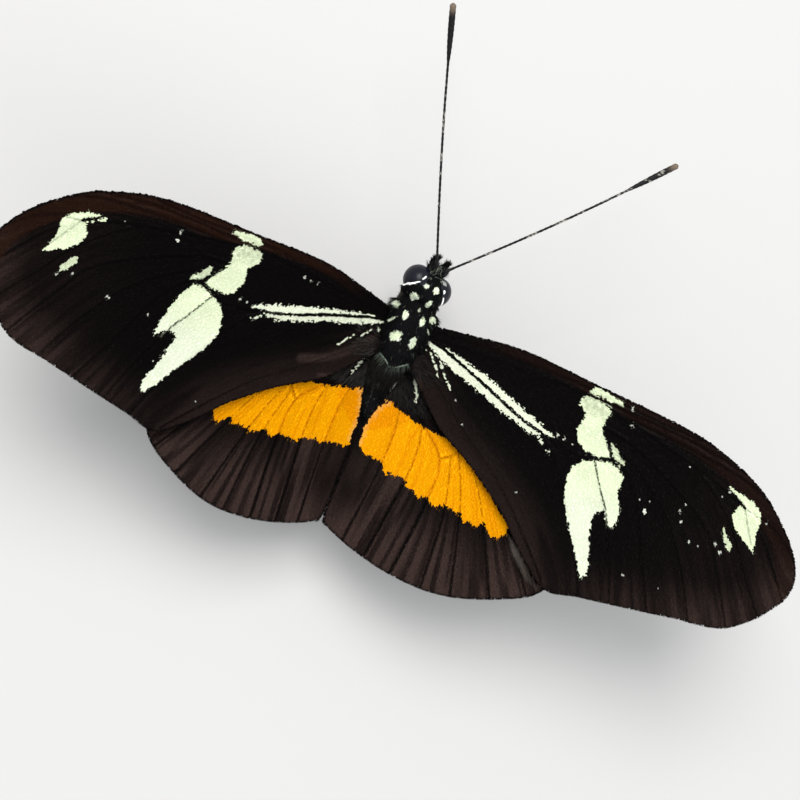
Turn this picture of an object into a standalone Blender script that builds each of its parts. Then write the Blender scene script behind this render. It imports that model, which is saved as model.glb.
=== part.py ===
"""A Heliconius butterfly at life size, wings spread and lifted, standing on its four walking legs.

The body frame has its origin midway between the forewing hinges, +X to the butterfly's right,
+Y forward and +Z up, and its lengths are millimetres. Everything hangs on one carrier empty,
which sets the feet on the floor and the middle of the whole model over the world origin.
"""
import bmesh
import bpy
from math import acos, ceil, cos, pi, radians, sin, sqrt
from mathutils import Vector
from mathutils.geometry import delaunay_2d_cdt, intersect_point_line

MM = 0.001

# Fits between neighbouring pieces, and the thinnest that a piece is made.
GAP = 0.3
MEMBRANE = 0.54

# Wings: the hinge's distance from the midline, the lift of each wing's plane, and the bow of the
# plane between hinge and tip. The hindwing's plane lies below the forewing's.
HINGE_X = 2.0
WING_LIFT = radians(20.6)
FOREWING_LENGTH = 37.1
WING_BOW = 0.4
HINDWING_DROP = 1.15
MARGIN_STEP = 1.7
SHEET_GRID = 3.4
GRID_CLEARANCE = 1.1

# Main veins stand up from both faces of a wing as ridges with sloping sides. A branch starts this
# far from its parent's middle line, and every vein stops this far short of the wing's edge.
VEIN_RISE = 0.11
VEIN_HALF_WIDTH = 0.4
VEIN_STEP = 2.4
VEIN_CLEARANCE = 0.5
SIDE_CLEARANCE = 0.3

# Body, each as half sizes: across, along, above and below its centre.
THORAX = {"centre": (0.0, -0.4, -0.6), "half": (2.0, 3.95, 1.9, 3.2), "fullness": 3.4, "slope": 0.35}
HEAD = {"centre": (0.0, 0.0, 0.0), "half": (1.4, 1.55, 1.5, 1.5), "fullness": 2.2, "slope": 0.0}
HEAD_PLACE = (0.21, 4.44, 0.1)
HEAD_TURN = radians(-9.4)
EYE_CENTRE = (1.04, 0.1, -0.05)
EYE_HALF = (1.25, 1.32, 1.4)
EYE_INNER_FACE = 0.85

ABDOMEN_FRONT_Y = -3.6
ABDOMEN_TIP_Y = -17.2
ABDOMEN_RADIUS = 1.3
ABDOMEN_WAIST = 0.62
ABDOMEN_FULLNESS = 4.0
ABDOMEN_FRONT_Z = -2.3
ABDOMEN_DIP = 1.75
ABDOMEN_DROOP = 1.5
ABDOMEN_SEGMENTS = 8
SEGMENT_FURROW = 0.07

# Feelers, in the head's own frame.
ANTENNA_ROOT = (0.4, 1.0, 0.3)
ANTENNA_NECK = (0.5, 1.9, 0.95)
ANTENNA_TIP = (12.2, 20.3, 4.9)
ANTENNA_RADIUS = 0.26
CLUB_RADIUS = 0.4
CLUB_LENGTH = 5.0
PROBOSCIS_CENTRE = (0.5, -2.9)
PROBOSCIS_RADII = (1.5, 0.35)
PROBOSCIS_TURNS = 1.4
PROBOSCIS_TUBE = 0.25
PALP_PATH = ((0.4, 1.1, -0.9), (0.5, 2.2, -0.75), (0.52, 2.55, 0.1), (0.48, 2.6, 0.8))
PALP_RADII = (0.3, 0.32, 0.3, 0.14)

# Legs, right side, from inside the thorax to the foot. The floor lies this far below the hinges.
HINGE_HEIGHT = 9.0
TARSUS_RADIUS = 0.25
FOOT_SINK = 0.65
FOOT_Z = FOOT_SINK * TARSUS_RADIUS - HINGE_HEIGHT
LEG_PATHS = {
    "foreleg": ((0.8, 1.9, -2.2), (1.0, 3.0, -3.35), (1.15, 4.1, -3.1), (1.15, 4.9, -2.7)),
    "midleg": ((0.9, 0.2, -2.4), (1.6, 0.4, -3.9), (4.9, 1.2, -2.7), (6.3, 0.6, -6.9),
               (6.9, 0.4, FOOT_Z), (8.3, 0.2, FOOT_Z), (9.1, 0.1, FOOT_Z)),
    "hindleg": ((0.8, -1.8, -2.2), (1.5, -2.3, -3.9), (4.5, -5.2, -3.1), (5.6, -9.0, -7.4),
                (6.0, -10.2, FOOT_Z), (6.6, -12.6, FOOT_Z), (6.9, -13.6, FOOT_Z)),
}
LEG_RADII = {
    "foreleg": (0.3, 0.3, 0.27, 0.16),
    "midleg": (0.42, 0.4, 0.34, 0.28, 0.25, 0.25, 0.2),
    "hindleg": (0.42, 0.4, 0.34, 0.28, 0.25, 0.25, 0.2),
}

# Wing outlines in the wing's own plane: out from the hinge, and forward.
FOREWING_EDGE = [
    (3.2, 2.1), (8.1, 2.65), (15.5, 2.2), (23.9, 1.6), (28.9, 0.3), (32.3, -1.4), (35.7, -4.5),
    (37.1, -7.6), (35.7, -10.6), (32.7, -13.2), (28.5, -14.0), (24.6, -14.7), (20.4, -15.4),
    (17.2, -15.9), (13.9, -13.5), (11.4, -11.2), (7.5, -8.5), (4.0, -6.6), (1.6, -4.5),
]
FOREWING_ROOT_Y = (1.5, -2.8)
FOREWING_VEINS = {
    "subcosta": [(0.4, 1.2), (5.0, 1.75), (10.0, 1.8), (15.5, 1.6), (20.5, 1.2)],
    "radius": [(0.4, 0.4), (5.0, 0.8), (10.0, 1.05), (14.4, 1.0), (18.0, 0.4), (23.0, -0.7),
               (27.5, -1.8), (30.6, -2.9), (32.1, -3.0), (34.4, -4.0)],
    "cubitus": [(0.4, -0.1), (5.7, -1.5), (11.7, -3.4), (15.9, -4.1), (18.4, -3.4), (19.8, -3.7),
                (21.8, -5.9), (24.4, -11.0), (26.2, -14.2)],
    "anal": [(0.4, -1.3), (3.0, -3.6), (6.0, -5.9), (10.0, -8.6), (13.5, -11.8), (17.0, -15.3)],
    "radial_one": [(14.0, 1.0), (19.0, 1.0), (25.5, 0.6)],
    "radial_two": [(17.5, 0.5), (23.0, 0.2), (29.5, -0.6)],
    "radial_four": [(30.6, -2.9), (31.9, -3.8), (33.4, -5.2), (35.3, -7.5), (36.6, -9.4)],
    "radial_five": [(25.5, -1.3), (28.3, -3.2), (30.6, -5.4), (32.7, -8.2), (34.9, -11.2)],
    "discal_end": [(16.0, 0.7), (16.7, -0.9), (17.8, -2.3), (18.5, -3.3)],
    "median_one": [(16.9, -1.0), (21.0, -2.0), (27.8, -5.5), (30.2, -8.6), (32.7, -12.8)],
    "median_two": [(17.8, -2.3), (20.6, -3.2), (24.5, -6.0), (27.4, -9.7), (29.6, -13.6)],
    "cubital_one": [(17.2, -4.0), (18.6, -6.2), (19.8, -7.9), (21.6, -11.6), (22.9, -14.8)],
    "cubital_two": [(11.7, -3.4), (14.0, -5.2), (16.6, -8.6), (18.9, -12.4), (20.2, -15.3)],
}
HINDWING_EDGE = [
    (4.0, -2.5), (9.0, -3.5), (13.0, -5.5), (16.0, -8.5), (18.0, -12.0), (18.5, -14.5),
    (17.1, -16.8), (13.6, -18.6), (10.2, -19.7), (7.0, -19.95), (3.6, -19.6), (0.3, -18.7),
    (-1.6, -17.4), (-1.92, -16.2), (-1.94, -13.0), (-1.94, -10.2), (-1.85, -8.8), (-1.65, -7.6),
    (-1.35, -6.4), (-1.05, -5.3),
]
HINDWING_ROOT_Y = (-2.4, -4.0)
HINDWING_VEINS = {
    "subcosta": [(0.8, -2.9), (5.0, -3.6), (10.0, -5.4), (14.0, -8.3), (17.2, -12.7), (17.8, -14.6)],
    "cell_front": [(0.5, -3.4), (3.0, -4.7), (6.3, -6.5), (11.5, -10.4), (16.3, -16.6)],
    "cell_rear": [(0.3, -3.8), (2.6, -6.4), (5.3, -8.9), (5.6, -13.0), (5.0, -19.3)],
    "cell_end": [(6.3, -6.5), (6.4, -7.8), (5.3, -8.9)],
    "median_one": [(6.5, -6.8), (9.8, -10.8), (13.6, -18.0)],
    "median_two": [(6.5, -7.6), (8.4, -11.8), (10.5, -19.2)],
    "median_three": [(6.1, -8.3), (7.3, -12.8), (7.9, -19.4)],
    "cubital_two": [(3.2, -7.1), (3.2, -12.0), (2.4, -18.8)],
    "anal": [(0.2, -4.4), (0.8, -8.0), (0.7, -13.0), (0.2, -18.2)],
}


FOREWING = (FOREWING_EDGE, FOREWING_ROOT_Y, FOREWING_VEINS)
HINDWING = (HINDWING_EDGE, HINDWING_ROOT_Y, HINDWING_VEINS)


def material(name, color, roughness, metallic=0.0):
    """One finish, made once and shared by the pieces that wear it."""
    finish = bpy.data.materials.get(name)
    if finish is None:
        finish = bpy.data.materials.new(name)
        finish.use_nodes = True
        shader = finish.node_tree.nodes["Principled BSDF"]
        shader.inputs["Base Color"].default_value = (*color, 1.0)
        shader.inputs["Roughness"].default_value = roughness
        shader.inputs["Metallic"].default_value = metallic
    return finish


FINISHES = {
    "wing_black": ((0.012, 0.009, 0.009), 0.75),
    "wing_orange": ((0.95, 0.33, 0.01), 0.7),
    "body_black": ((0.01, 0.01, 0.012), 0.8),
    "eye_glossy": ((0.006, 0.007, 0.02), 0.15),
    "leg_brown": ((0.02, 0.015, 0.012), 0.6),
    "feeler_black": ((0.008, 0.008, 0.009), 0.5),
}


def place(name, mesh, finish, parent, collection):
    """An object in the model, in its finish, riding on its parent."""
    obj = bpy.data.objects.new(name, mesh)
    collection.objects.link(obj)
    obj.parent = parent
    mesh.materials.append(material(finish, *FINISHES[finish]))
    mesh.shade_smooth()
    mesh.set_sharp_from_angle(angle=radians(40))
    return obj


def as_cutter(obj):
    """A cutter stays in its scene as a wire and is never part of the model."""
    obj.hide_render = True
    obj.display_type = "WIRE"
    return obj


def cut(obj, cutter):
    """Keep obj clear of a swollen neighbour."""
    modifier = obj.modifiers.new("clear_" + cutter.name, "BOOLEAN")
    modifier.operation = "DIFFERENCE"
    modifier.object = cutter


def egg_point(egg, direction, grow):
    """A point of the unit ball, moved onto the egg: fuller than an ellipsoid towards its ends."""
    across, along, above, below = (half + grow for half in egg["half"])
    s = max(-1.0, min(1.0, direction.y))
    ring = sqrt(max(0.0, 1.0 - s * s))
    full = sqrt(max(0.0, 1.0 - abs(s) ** egg["fullness"]))
    side = direction.x / ring if ring > 1e-6 else 0.0
    up = direction.z / ring if ring > 1e-6 else 0.0
    tall = above if up > 0 else below
    centre = Vector(egg["centre"])
    return centre + Vector((across * full * side, along * s, tall * full * up + egg["slope"] * s))


def egg_mesh(name, egg, grow=0.0, around=22, along=14):
    """A closed egg from a ball whose poles lie fore and aft."""
    bm = bmesh.new()
    bmesh.ops.create_uvsphere(bm, u_segments=around, v_segments=along, radius=1.0)
    for vert in bm.verts:
        unit = Vector((vert.co.x, -vert.co.z, vert.co.y))
        vert.co = egg_point(egg, unit, grow) * MM
    return finish_mesh(name, bm)


def face_out(bm):
    """Turn the faces of one closed body outwards."""
    bmesh.ops.recalc_face_normals(bm, faces=bm.faces)
    if bm.calc_volume(signed=True) < 0:
        bmesh.ops.reverse_faces(bm, faces=bm.faces)


def finish_mesh(name, bm):
    """Close the bmesh off as a mesh with its faces pointing out."""
    face_out(bm)
    mesh = bpy.data.meshes.new(name)
    bm.to_mesh(mesh)
    bm.free()
    return mesh


def thorax_side(y, z):
    """How far the thorax reaches to the side at this place of the body frame."""
    across, along, above, below = THORAX["half"]
    centre = THORAX["centre"]
    s = max(-1.0, min(1.0, (y - centre[1]) / along))
    full = sqrt(1.0 - abs(s) ** THORAX["fullness"])
    level = z - centre[2] - THORAX["slope"] * s
    tall = (above if level > 0 else below) * full
    if tall <= abs(level):
        return 0.0
    return across * full * sqrt(1.0 - (level / tall) ** 2)


def smooth_line(points, step, closed=False):
    """A smooth curve through the points, read off about every step."""
    points = [Vector(p) for p in points]
    count = len(points)
    spans = count if closed else count - 1
    line = []
    for i in range(spans):
        if closed:
            p0, p1, p2, p3 = (points[(i + k) % count] for k in (-1, 0, 1, 2))
        else:
            p0, p1, p2, p3 = (points[max(0, min(count - 1, i + k))] for k in (-1, 0, 1, 2))
        pieces = max(1, ceil((p2 - p1).length / step))
        for j in range(pieces):
            t = j / pieces
            bend = (p2 - p0) * t + (2 * p0 - 5 * p1 + 4 * p2 - p3) * t * t
            bend += (3 * p1 - p0 - 3 * p2 + p3) * t * t * t
            line.append(p1 + bend * 0.5)
    if not closed:
        line.append(points[-1])
    return line


def wing_outline(edge, root_y, drop):
    """The wing's free edge, closed by a root edge that follows the thorax at the fit's gap."""
    outline = []
    steps = max(2, ceil((root_y[0] - root_y[1]) / MARGIN_STEP))
    for i in range(steps + 1):
        y = root_y[1] + (root_y[0] - root_y[1]) * i / steps
        reach = thorax_side(y, -drop) + GAP
        outline.append(Vector(((reach - HINGE_X) / cos(WING_LIFT), y)))
    free = smooth_line([outline[-1], *edge, outline[0]], MARGIN_STEP)
    return outline + free[1:-1]


def distance_to_lines(point, lines):
    """The distance from a point of the wing's plane to the nearest of some lines."""
    nearest = 1e9
    for line in lines:
        for a, b in zip(line, line[1:]):
            foot, share = intersect_point_line(point, a, b)
            foot = a if share < 0 else b if share > 1 else foot.to_2d()
            nearest = min(nearest, (point - foot).length)
    return nearest


def inside(point, outline):
    """Whether a point of the wing's plane lies within the outline."""
    crossings = 0
    for a, b in zip(outline, outline[1:] + outline[:1]):
        if (a.y > point.y) != (b.y > point.y):
            x = a.x + (point.y - a.y) / (b.y - a.y) * (b.x - a.x)
            crossings += x > point.x
    return crossings % 2 == 1


def vein_lines(veins, outline):
    """The veins' middle lines, each trimmed clear of the wing's edge and of the veins before it."""
    lines = [outline + outline[:1]]
    for route in veins.values():
        line = smooth_line(route, VEIN_STEP)
        line = [p for p in line if inside(p, outline) and distance_to_lines(p, lines) > VEIN_CLEARANCE]
        lines.append(line)
    return lines[1:]


def ridge_foot_points(lines, outline):
    """Points on both sides of each vein, where its ridge meets the membrane."""
    ring = outline + outline[:1]
    points = []
    for line in lines:
        others = [ring] + [other for other in lines if other is not line]
        for i, point in enumerate(line):
            along = line[min(i + 1, len(line) - 1)] - line[max(i - 1, 0)]
            across = Vector((-along.y, along.x)).normalized() * VEIN_HALF_WIDTH
            for foot in (point + across, point - across):
                if inside(foot, outline) and distance_to_lines(foot, others) > SIDE_CLEARANCE:
                    points.append(foot)
    return points


def sheet_points(outline, lines):
    """A loose grid of points clear of the edge and the veins, so that no triangle is too long."""
    ring = [outline + outline[:1]] + lines
    points = []
    columns = ceil(FOREWING_LENGTH / SHEET_GRID)
    for i in range(-1, columns + 1):
        for j in range(-1, 8):
            point = Vector((i * SHEET_GRID + (j % 2) * SHEET_GRID / 2, 2.0 - j * SHEET_GRID * 0.87))
            if inside(point, outline) and distance_to_lines(point, ring) > GRID_CLEARANCE:
                points.append(point)
    return points


def wing_height(x):
    """The height of the wing's middle surface over its hinge."""
    return x * sin(WING_LIFT) + WING_BOW * sin(pi * max(0.0, x) / FOREWING_LENGTH)


def build_wing(name, plan, drop, side, finish, parent, collection):
    """A wing: one sheet of triangles, pulled apart by the membrane and raised along its veins."""
    edge, root_y, veins = plan
    outline = wing_outline(edge, root_y, drop)
    lines = vein_lines(veins, outline)
    flat = outline + [point for line in lines for point in line]
    edges = [(i, (i + 1) % len(outline)) for i in range(len(outline))]
    start = len(outline)
    for line in lines:
        edges += [(start + i, start + i + 1) for i in range(len(line) - 1)]
        start += len(line)
    flat += ridge_foot_points(lines, outline) + sheet_points(outline, lines)
    points, _, triangles, *_ = delaunay_2d_cdt(flat, edges, [], 1, 1e-4)
    bm = bmesh.new()
    verts = [bm.verts.new((p.x, p.y, 0.0)) for p in points]
    for a, b, c in triangles:
        bm.faces.new((verts[a], verts[b], verts[c]))
    lower = bmesh.ops.extrude_face_region(bm, geom=bm.faces[:])
    bottom = {v for v in lower["geom"] if isinstance(v, bmesh.types.BMVert)}
    for vert in bm.verts:
        x, y = vert.co.x, vert.co.y
        ridge = max(0.0, 1.0 - distance_to_lines(Vector((x, y)), lines) / VEIN_HALF_WIDTH)
        half = MEMBRANE / 2 + VEIN_RISE * ridge
        z = wing_height(x) - drop + (-half if vert in bottom else half)
        vert.co = Vector((side * (HINGE_X + x * cos(WING_LIFT)), y, z)) * MM
    return place(name, finish_mesh(name, bm), finish, parent, collection)


def tube_mesh(name, points, radii):
    """A tube with round, capped ends through the points, its radius read from the same stations."""
    curve = bpy.data.curves.new(name, "CURVE")
    curve.dimensions = "3D"
    curve.bevel_depth = MM
    curve.bevel_resolution = 2
    curve.use_fill_caps = True
    spline = curve.splines.new("POLY")
    spline.points.add(len(points) - 1)
    for knot, point, radius in zip(spline.points, points, radii):
        knot.co = (*(Vector(point) * MM), 1.0)
        knot.radius = radius
    holder = bpy.data.objects.new(name, curve)
    bpy.context.scene.collection.objects.link(holder)
    bpy.context.view_layer.update()
    evaluated = holder.evaluated_get(bpy.context.evaluated_depsgraph_get())
    mesh = bpy.data.meshes.new_from_object(evaluated)
    mesh.name = name
    bpy.data.objects.remove(holder)
    bpy.data.curves.remove(curve)
    bm = bmesh.new()
    bm.from_mesh(mesh)
    bmesh.ops.remove_doubles(bm, verts=bm.verts, dist=0.00001)
    face_out(bm)
    bm.to_mesh(mesh)
    bm.free()
    return mesh


def mirrored(points, side):
    """Points of the right side, or their mirror images on the left."""
    return [(side * p[0], p[1], p[2]) for p in points]


def build_abdomen(parent, collection, clearance):
    """The abdomen: a ball drawn out along a line that dips under the hindwings and droops."""
    length = ABDOMEN_FRONT_Y - ABDOMEN_TIP_Y
    bm = bmesh.new()
    bmesh.ops.create_uvsphere(bm, u_segments=20, v_segments=4 * ABDOMEN_SEGMENTS, radius=1.0)
    for vert in bm.verts:
        s = vert.co.z
        ring = sqrt(max(1e-12, 1.0 - s * s))
        t = acos(max(-1.0, min(1.0, s))) / pi
        s = 1.0 - 2.0 * t
        waist = ABDOMEN_WAIST + (1.0 - ABDOMEN_WAIST) * sin(min(1.0, t / 0.45) * pi / 2)
        furrow = SEGMENT_FURROW * (0.5 + 0.5 * cos(2 * pi * t * ABDOMEN_SEGMENTS)) ** 2
        radius = (ABDOMEN_RADIUS * waist - furrow) * sqrt(max(0.0, 1.0 - abs(s) ** ABDOMEN_FULLNESS))
        dip = ABDOMEN_DIP * sin(min(1.0, t / 0.5) * pi / 2)
        z = ABDOMEN_FRONT_Z - dip - ABDOMEN_DROOP * t * t
        around = Vector((vert.co.x, 0.0, vert.co.y)) / ring
        vert.co = (Vector((0.0, ABDOMEN_FRONT_Y - length * t, z)) + around * radius) * MM
    abdomen = place("abdomen", finish_mesh("abdomen", bm), "body_black", parent, collection)
    cut(abdomen, clearance)


def eye_mesh(name, side, grow):
    """A compound eye: a little more than half an egg, with a flat face towards the head."""
    bm = bmesh.new()
    bmesh.ops.create_uvsphere(bm, u_segments=18, v_segments=12, radius=1.0)
    for vert in bm.verts:
        unit = Vector((vert.co.z, vert.co.x, vert.co.y))
        reach = Vector([half + grow for half in EYE_HALF])
        vert.co = Vector(EYE_CENTRE) + unit * reach
        vert.co.x *= side
        vert.co *= MM
    face = side * (EYE_INNER_FACE - grow) * MM
    whole = bm.verts[:] + bm.edges[:] + bm.faces[:]
    bmesh.ops.bisect_plane(bm, geom=whole, plane_co=(face, 0, 0), plane_no=(-side, 0, 0), clear_outer=True)
    rim = [edge for edge in bm.edges if edge.is_boundary]
    bmesh.ops.holes_fill(bm, edges=rim, sides=0)
    return finish_mesh(name, bm)


def build_leg(kind, hand, side, parent, collection, clearance):
    """A leg: one bent, tapering tube whose foot lies flat on the floor."""
    name = kind + "_" + hand
    mesh = tube_mesh(name, mirrored(LEG_PATHS[kind], side), LEG_RADII[kind])
    floor = -HINGE_HEIGHT * MM
    for vert in mesh.vertices:
        vert.co.z = max(vert.co.z, floor)
    leg = place(name, mesh, "leg_brown", parent, collection)
    cut(leg, clearance)


def antenna_stations(side):
    """Points and radii along a feeler: a thin shaft, then a club that swells and rounds off."""
    neck = Vector(ANTENNA_NECK)
    tip = Vector(ANTENNA_TIP)
    shaft = (tip - neck).length
    club_start = 1.0 - CLUB_LENGTH / shaft
    shares = [0.0, 0.25, 0.5, club_start]
    radii = [ANTENNA_RADIUS] * 4
    for i in range(1, 7):
        swell = i / 6
        shares.append(club_start + (1.0 - club_start) * swell)
        radii.append(ANTENNA_RADIUS + (CLUB_RADIUS - ANTENNA_RADIUS) * sin(swell * pi * 0.62))
    radii[-1] = ANTENNA_RADIUS * 0.7
    points = [Vector(ANTENNA_ROOT)] + [neck.lerp(tip, share) for share in shares]
    return mirrored(points, side), [ANTENNA_RADIUS] + radii


def proboscis_stations():
    """The sucking tube, coiled under the head; its first stretch is cut off by the head."""
    steps = ceil(PROBOSCIS_TURNS * 20)
    outer, inner = PROBOSCIS_RADII
    points = []
    for i in range(steps + 1):
        share = i / steps
        angle = pi / 2 - share * PROBOSCIS_TURNS * 2 * pi
        radius = outer + (inner - outer) * share
        points.append((0.0, PROBOSCIS_CENTRE[0] + radius * cos(angle), PROBOSCIS_CENTRE[1] + radius * sin(angle)))
    return points, [PROBOSCIS_TUBE] * len(points)


def new_collection(name):
    collection = bpy.data.collections.new(name)
    bpy.context.scene.collection.children.link(collection)
    return collection


def set_on_floor(carrier, pieces):
    """Move the carrier so that the middle of the whole model's base is the world origin."""
    bpy.context.view_layer.update()
    graph = bpy.context.evaluated_depsgraph_get()
    low = Vector((1e9, 1e9, 1e9))
    high = -low
    for piece in pieces:
        seen = piece.evaluated_get(graph)
        for vert in seen.data.vertices:
            point = seen.matrix_world @ vert.co
            low = Vector(map(min, low, point))
            high = Vector(map(max, high, point))
    middle = (low + high) / 2
    carrier.location = (-middle.x, -middle.y, -low.z)
    bpy.context.view_layer.update()


def main():
    for obj in list(bpy.data.objects):
        bpy.data.objects.remove(obj)
    model = new_collection("heliconius_butterfly")
    cutters = new_collection("cutters")
    carrier = bpy.data.objects.new("carrier", None)
    model.objects.link(carrier)
    head_frame = bpy.data.objects.new("head_frame", None)
    model.objects.link(head_frame)
    head_frame.parent = carrier
    head_frame.location = Vector(HEAD_PLACE) * MM
    head_frame.rotation_euler.z = HEAD_TURN

    near_thorax = egg_mesh("thorax_clearance", THORAX, GAP)
    thorax_clearance = as_cutter(place("thorax_clearance", near_thorax, "body_black", carrier, cutters))
    near_head = egg_mesh("head_clearance", HEAD, GAP)
    head_clearance = as_cutter(place("head_clearance", near_head, "body_black", head_frame, cutters))

    thorax = place("thorax", egg_mesh("thorax", THORAX), "body_black", carrier, model)
    head = place("head", egg_mesh("head", HEAD, around=20, along=12), "body_black", head_frame, model)
    cut(thorax, head_clearance)
    build_abdomen(carrier, model, thorax_clearance)

    for side, hand in ((-1, "left"), (1, "right")):
        name = "eye_" + hand
        place(name, eye_mesh(name, side, 0.0), "eye_glossy", head_frame, model)
        near_eye = eye_mesh(name + "_clearance", side, GAP)
        clearance = as_cutter(place(name + "_clearance", near_eye, "eye_glossy", head_frame, cutters))
        cut(head, clearance)
        cut(thorax, clearance)
        antenna = tube_mesh("antenna_" + hand, *antenna_stations(side))
        cut(place("antenna_" + hand, antenna, "feeler_black", head_frame, model), head_clearance)
        palp = tube_mesh("palp_" + hand, mirrored(PALP_PATH, side), PALP_RADII)
        cut(place("palp_" + hand, palp, "body_black", head_frame, model), head_clearance)
        for kind in LEG_PATHS:
            build_leg(kind, hand, side, carrier, model, thorax_clearance)
        build_wing("forewing_" + hand, FOREWING, 0.0, side, "wing_black", carrier, model)
        build_wing("hindwing_" + hand, HINDWING, HINDWING_DROP, side, "wing_orange", carrier, model)

    proboscis = tube_mesh("proboscis", *proboscis_stations())
    cut(place("proboscis", proboscis, "feeler_black", head_frame, model), head_clearance)

    set_on_floor(carrier, [obj for obj in model.objects if obj.type == "MESH"])


main()
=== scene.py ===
# %% [markdown]
# This lesson dresses a life-size Heliconius butterfly. The solids of its body, wings, legs and
# feelers come first as a fixed frame. Round that frame we grow what makes a butterfly look alive:
# wing membranes with veins, tens of thousands of scales, a coat of hair, and two glossy eyes.

# %% Load the frame
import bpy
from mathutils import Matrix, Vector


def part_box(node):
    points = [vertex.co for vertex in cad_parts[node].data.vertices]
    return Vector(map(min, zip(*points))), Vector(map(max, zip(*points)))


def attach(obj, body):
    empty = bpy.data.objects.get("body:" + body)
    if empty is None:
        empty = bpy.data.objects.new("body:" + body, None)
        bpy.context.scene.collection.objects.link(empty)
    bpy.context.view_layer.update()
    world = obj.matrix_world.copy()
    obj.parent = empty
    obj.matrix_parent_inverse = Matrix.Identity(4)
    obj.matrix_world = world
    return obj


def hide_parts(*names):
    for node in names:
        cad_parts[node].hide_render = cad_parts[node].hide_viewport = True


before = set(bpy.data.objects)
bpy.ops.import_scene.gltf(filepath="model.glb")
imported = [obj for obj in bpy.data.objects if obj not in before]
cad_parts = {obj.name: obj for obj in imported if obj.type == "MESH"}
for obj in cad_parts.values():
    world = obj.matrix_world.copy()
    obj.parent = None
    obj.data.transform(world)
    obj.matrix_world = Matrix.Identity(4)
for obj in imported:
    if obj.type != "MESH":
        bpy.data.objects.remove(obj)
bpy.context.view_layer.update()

# %% [markdown]
# All the sizes below are millimetres in the butterfly's own frame: the origin lies midway between
# the hinges of the forewings, +X is its right, +Y is forward and +Z is up. One matrix brings a
# finished mesh into the world. The tip of the abdomen ties the two frames together.

# %% The butterfly's own frame
import bmesh
import bpy
import numpy as np
from math import cos, pi, radians, sin, sqrt
from mathutils import Matrix, Vector
from mathutils.bvhtree import BVHTree

MM = 0.001
HINGE_HEIGHT = 9.0
ABDOMEN_TIP_Y = -17.2
hinges = Vector((0.0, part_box("abdomen")[0].y - ABDOMEN_TIP_Y * MM, HINGE_HEIGHT * MM))
TO_WORLD = Matrix.Translation(hinges) @ Matrix.Scale(MM, 4)
print("the hinges lie at", [round(1000 * c, 2) for c in hinges], "mm")

# %% [markdown]
# The photograph looks down on the butterfly's back, a little from its left, with its head turned
# away. The camera stands where that view comes from. Its right-hand and backward directions fix
# how it is turned. The lens is long, as on a telephone held well above a flower.

# %% Camera
CAMERA_AT = (-51.2, -13.45, 171.2)
CAMERA_RIGHT = Vector((0.87829, 0.38002, 0.29016))
CAMERA_BACK = Vector((-0.29595, -0.04455, 0.95416))
eye_data = bpy.data.cameras.new("camera")
eye_data.lens = 93.6
eye_data.sensor_width = 36.0
eye_data.clip_start = 0.01
camera = bpy.data.objects.new("camera", eye_data)
bpy.context.scene.collection.objects.link(camera)
camera_up = CAMERA_BACK.cross(CAMERA_RIGHT)
turn = Matrix((CAMERA_RIGHT, camera_up, CAMERA_BACK)).transposed().to_4x4()
camera.matrix_world = Matrix.Translation(TO_WORLD @ Vector(CAMERA_AT)) @ turn
bpy.context.scene.camera = camera
print("the camera stands", round(camera.matrix_world.translation.z * 1000), "mm over the floor")

# %% [markdown]
# Black wings need a calm setting, or every highlight becomes grey haze. A broad soft panel hangs
# overhead, a weaker one fills from the side, and a pale sky lights the rest. The floor is one
# large plain sheet.

# %% Floor and light
scene = bpy.context.scene
scene.view_settings.view_transform = "Standard"
FLOOR_WIDTH = 6.0
bm = bmesh.new()
bmesh.ops.create_grid(bm, x_segments=1, y_segments=1, size=FLOOR_WIDTH / 2)
floor_mesh = bpy.data.meshes.new("floor")
bm.to_mesh(floor_mesh)
bm.free()
floor = bpy.data.objects.new("floor", floor_mesh)
scene.collection.objects.link(floor)
paper = bpy.data.materials.new("pale_floor")
paper.use_nodes = True
paper.node_tree.nodes["Principled BSDF"].inputs["Base Color"].default_value = (0.46, 0.46, 0.455, 1.0)
paper.node_tree.nodes["Principled BSDF"].inputs["Roughness"].default_value = 0.9
floor_mesh.materials.append(paper)


def soft_panel(name, place, width, watts, tone):
    """A square soft light that faces the butterfly."""
    data = bpy.data.lights.new(name, "AREA")
    data.size = width
    data.energy = watts
    data.color = tone
    panel = bpy.data.objects.new(name, data)
    scene.collection.objects.link(panel)
    panel.location = place
    panel.rotation_euler = (-Vector(place)).to_track_quat("-Z", "Y").to_euler()


soft_panel("panel_above", (-0.18, 0.22, 0.55), 0.35, 4.5, (1.0, 0.985, 0.96))
soft_panel("panel_side", (0.6, -0.35, 0.35), 0.5, 1.55, (0.97, 0.98, 1.0))
sky = bpy.data.worlds.new("pale_sky")
sky.use_nodes = True
sky.node_tree.nodes["Background"].inputs["Color"].default_value = (0.97, 0.98, 1.0, 1.0)
sky.node_tree.nodes["Background"].inputs["Strength"].default_value = 0.95
scene.world = sky
print("one floor, two soft panels and a pale sky")

# %% [markdown]
# Colours are picked in the everyday 0 to 255 scale, and the shader wants linear light, so
# one helper converts them. Every coat piece stores its colours in an attribute called tint, and one
# kind of material reads it, adds fine grain, and sets the gloss. That way the pattern is worked
# out once and the skin beneath carries the same marks as the scales on it.

# %% Colours and finishes
def linear(red, green, blue):
    """An everyday colour as linear light."""
    value = np.array((red, green, blue)) / 255.0
    return np.where(value <= 0.04045, value / 12.92, ((value + 0.055) / 1.055) ** 2.4)


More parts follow.
